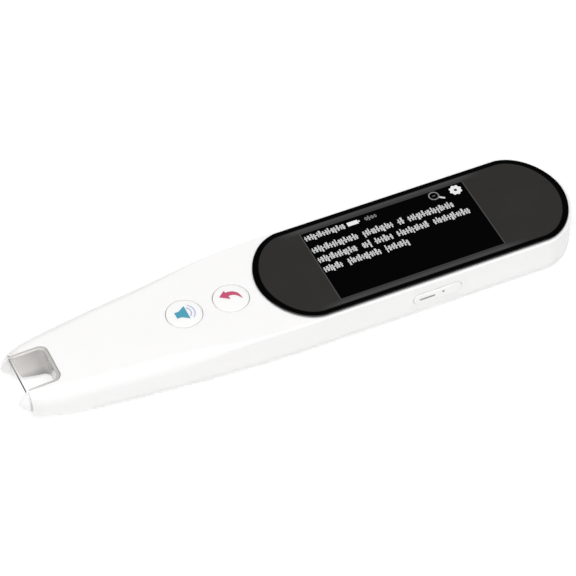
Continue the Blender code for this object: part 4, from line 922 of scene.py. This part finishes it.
for step in range(64):
    radius = 1.6 if step % 8 in (1, 2, 3, 4) else 1.38
    teeth.append((gear_u + radius * cos(step / 64 * 2 * pi), gear_v - radius * sin(step / 64 * 2 * pi)))
lit("lit_gear_sign", [teeth], lit_white)
hub = [(gear_u + 0.4 * cos(i / 20 * 2 * pi), gear_v - 0.4 * sin(i / 20 * 2 * pi)) for i in range(20)]
lit("gear_hub", [hub], black_plastic, GLASS_TOP, GLASS_TOP + 0.013)

# The floor, the light and the camera
drop_selection()
bpy.ops.mesh.primitive_plane_add(size=6, location=(0, 0, -0.0002))
floor = bpy.context.object
floor.name = "lit_table_top"
# Opal acrylic lit from below, as under a catalogue shot: it takes the shadow at the pen's foot almost away.
made, tree, shader, place = begin_material("opal_acrylic_lit_from_below", Roughness=0.9, Emission_Strength=0.5,
                                           Emission_Color=(1, 1, 1, 1))
cloud = node(tree, "ShaderNodeTexNoise", Vector=place, Scale=1 / (40 * MM), Detail=2.0)
tint = node(tree, "ShaderNodeMix", {"data_type": "RGBA"}, i0=cloud["Fac"], i6=linear("c8c8c8"), i7=linear("c4c4c4"))
tree.links.new(tint[2], shader.inputs["Base Color"])
floor.data.materials.append(made)

# A studio with pale walls and a dim ceiling, so that the glass mirrors no light at the photo's angle.
world = bpy.data.worlds.new("studio")
bpy.context.scene.world = world
world.use_nodes = True
tree = world.node_tree
way = node(tree, "ShaderNodeTexCoord")["Generated"]
height = node(tree, "ShaderNodeSeparateXYZ", Vector=way)
wall = node(tree, "ShaderNodeMapRange", {"interpolation_type": "SMOOTHSTEP"}, Value=height["Z"], From_Min=0.2, From_Max=0.55,
            To_Min=0.2, To_Max=0.03)
background = tree.nodes["Background"]
background.inputs["Color"].default_value = (1, 1, 1, 1)
tree.links.new(wall["Result"], background.inputs["Strength"])
bpy.context.scene.view_settings.view_transform = "Standard"


def softbox(name, place, size, power):
    """A square softbox that points at the pen."""
    light = bpy.data.lights.new(name, "AREA")
    light.size = size
    light.energy = power
    made = bpy.data.objects.new(name, light)
    bpy.context.scene.collection.objects.link(made)
    made.location = place
    made.rotation_euler = (-Vector(place)).to_track_quat("-Z", "Y").to_euler()


softbox("wide_softbox", (-0.15, -0.3, 1.15), 1.6, 24.0)

view = bpy.data.cameras.new("photo_view")
view.lens = 191.2
view.sensor_width = 36
camera = bpy.data.objects.new("photo_view", view)
bpy.context.scene.collection.objects.link(camera)
across, up, back = Vector((0.90892, -0.41697, 0)), Vector((0.30557, 0.66609, 0.68040)), Vector((-0.28371, -0.61843, 0.73284))
camera.matrix_world = Matrix.Translation((-0.204987, -0.443897, 0.532874)) @ Matrix((across, up, back)).transposed().to_4x4()
bpy.context.scene.camera = camera
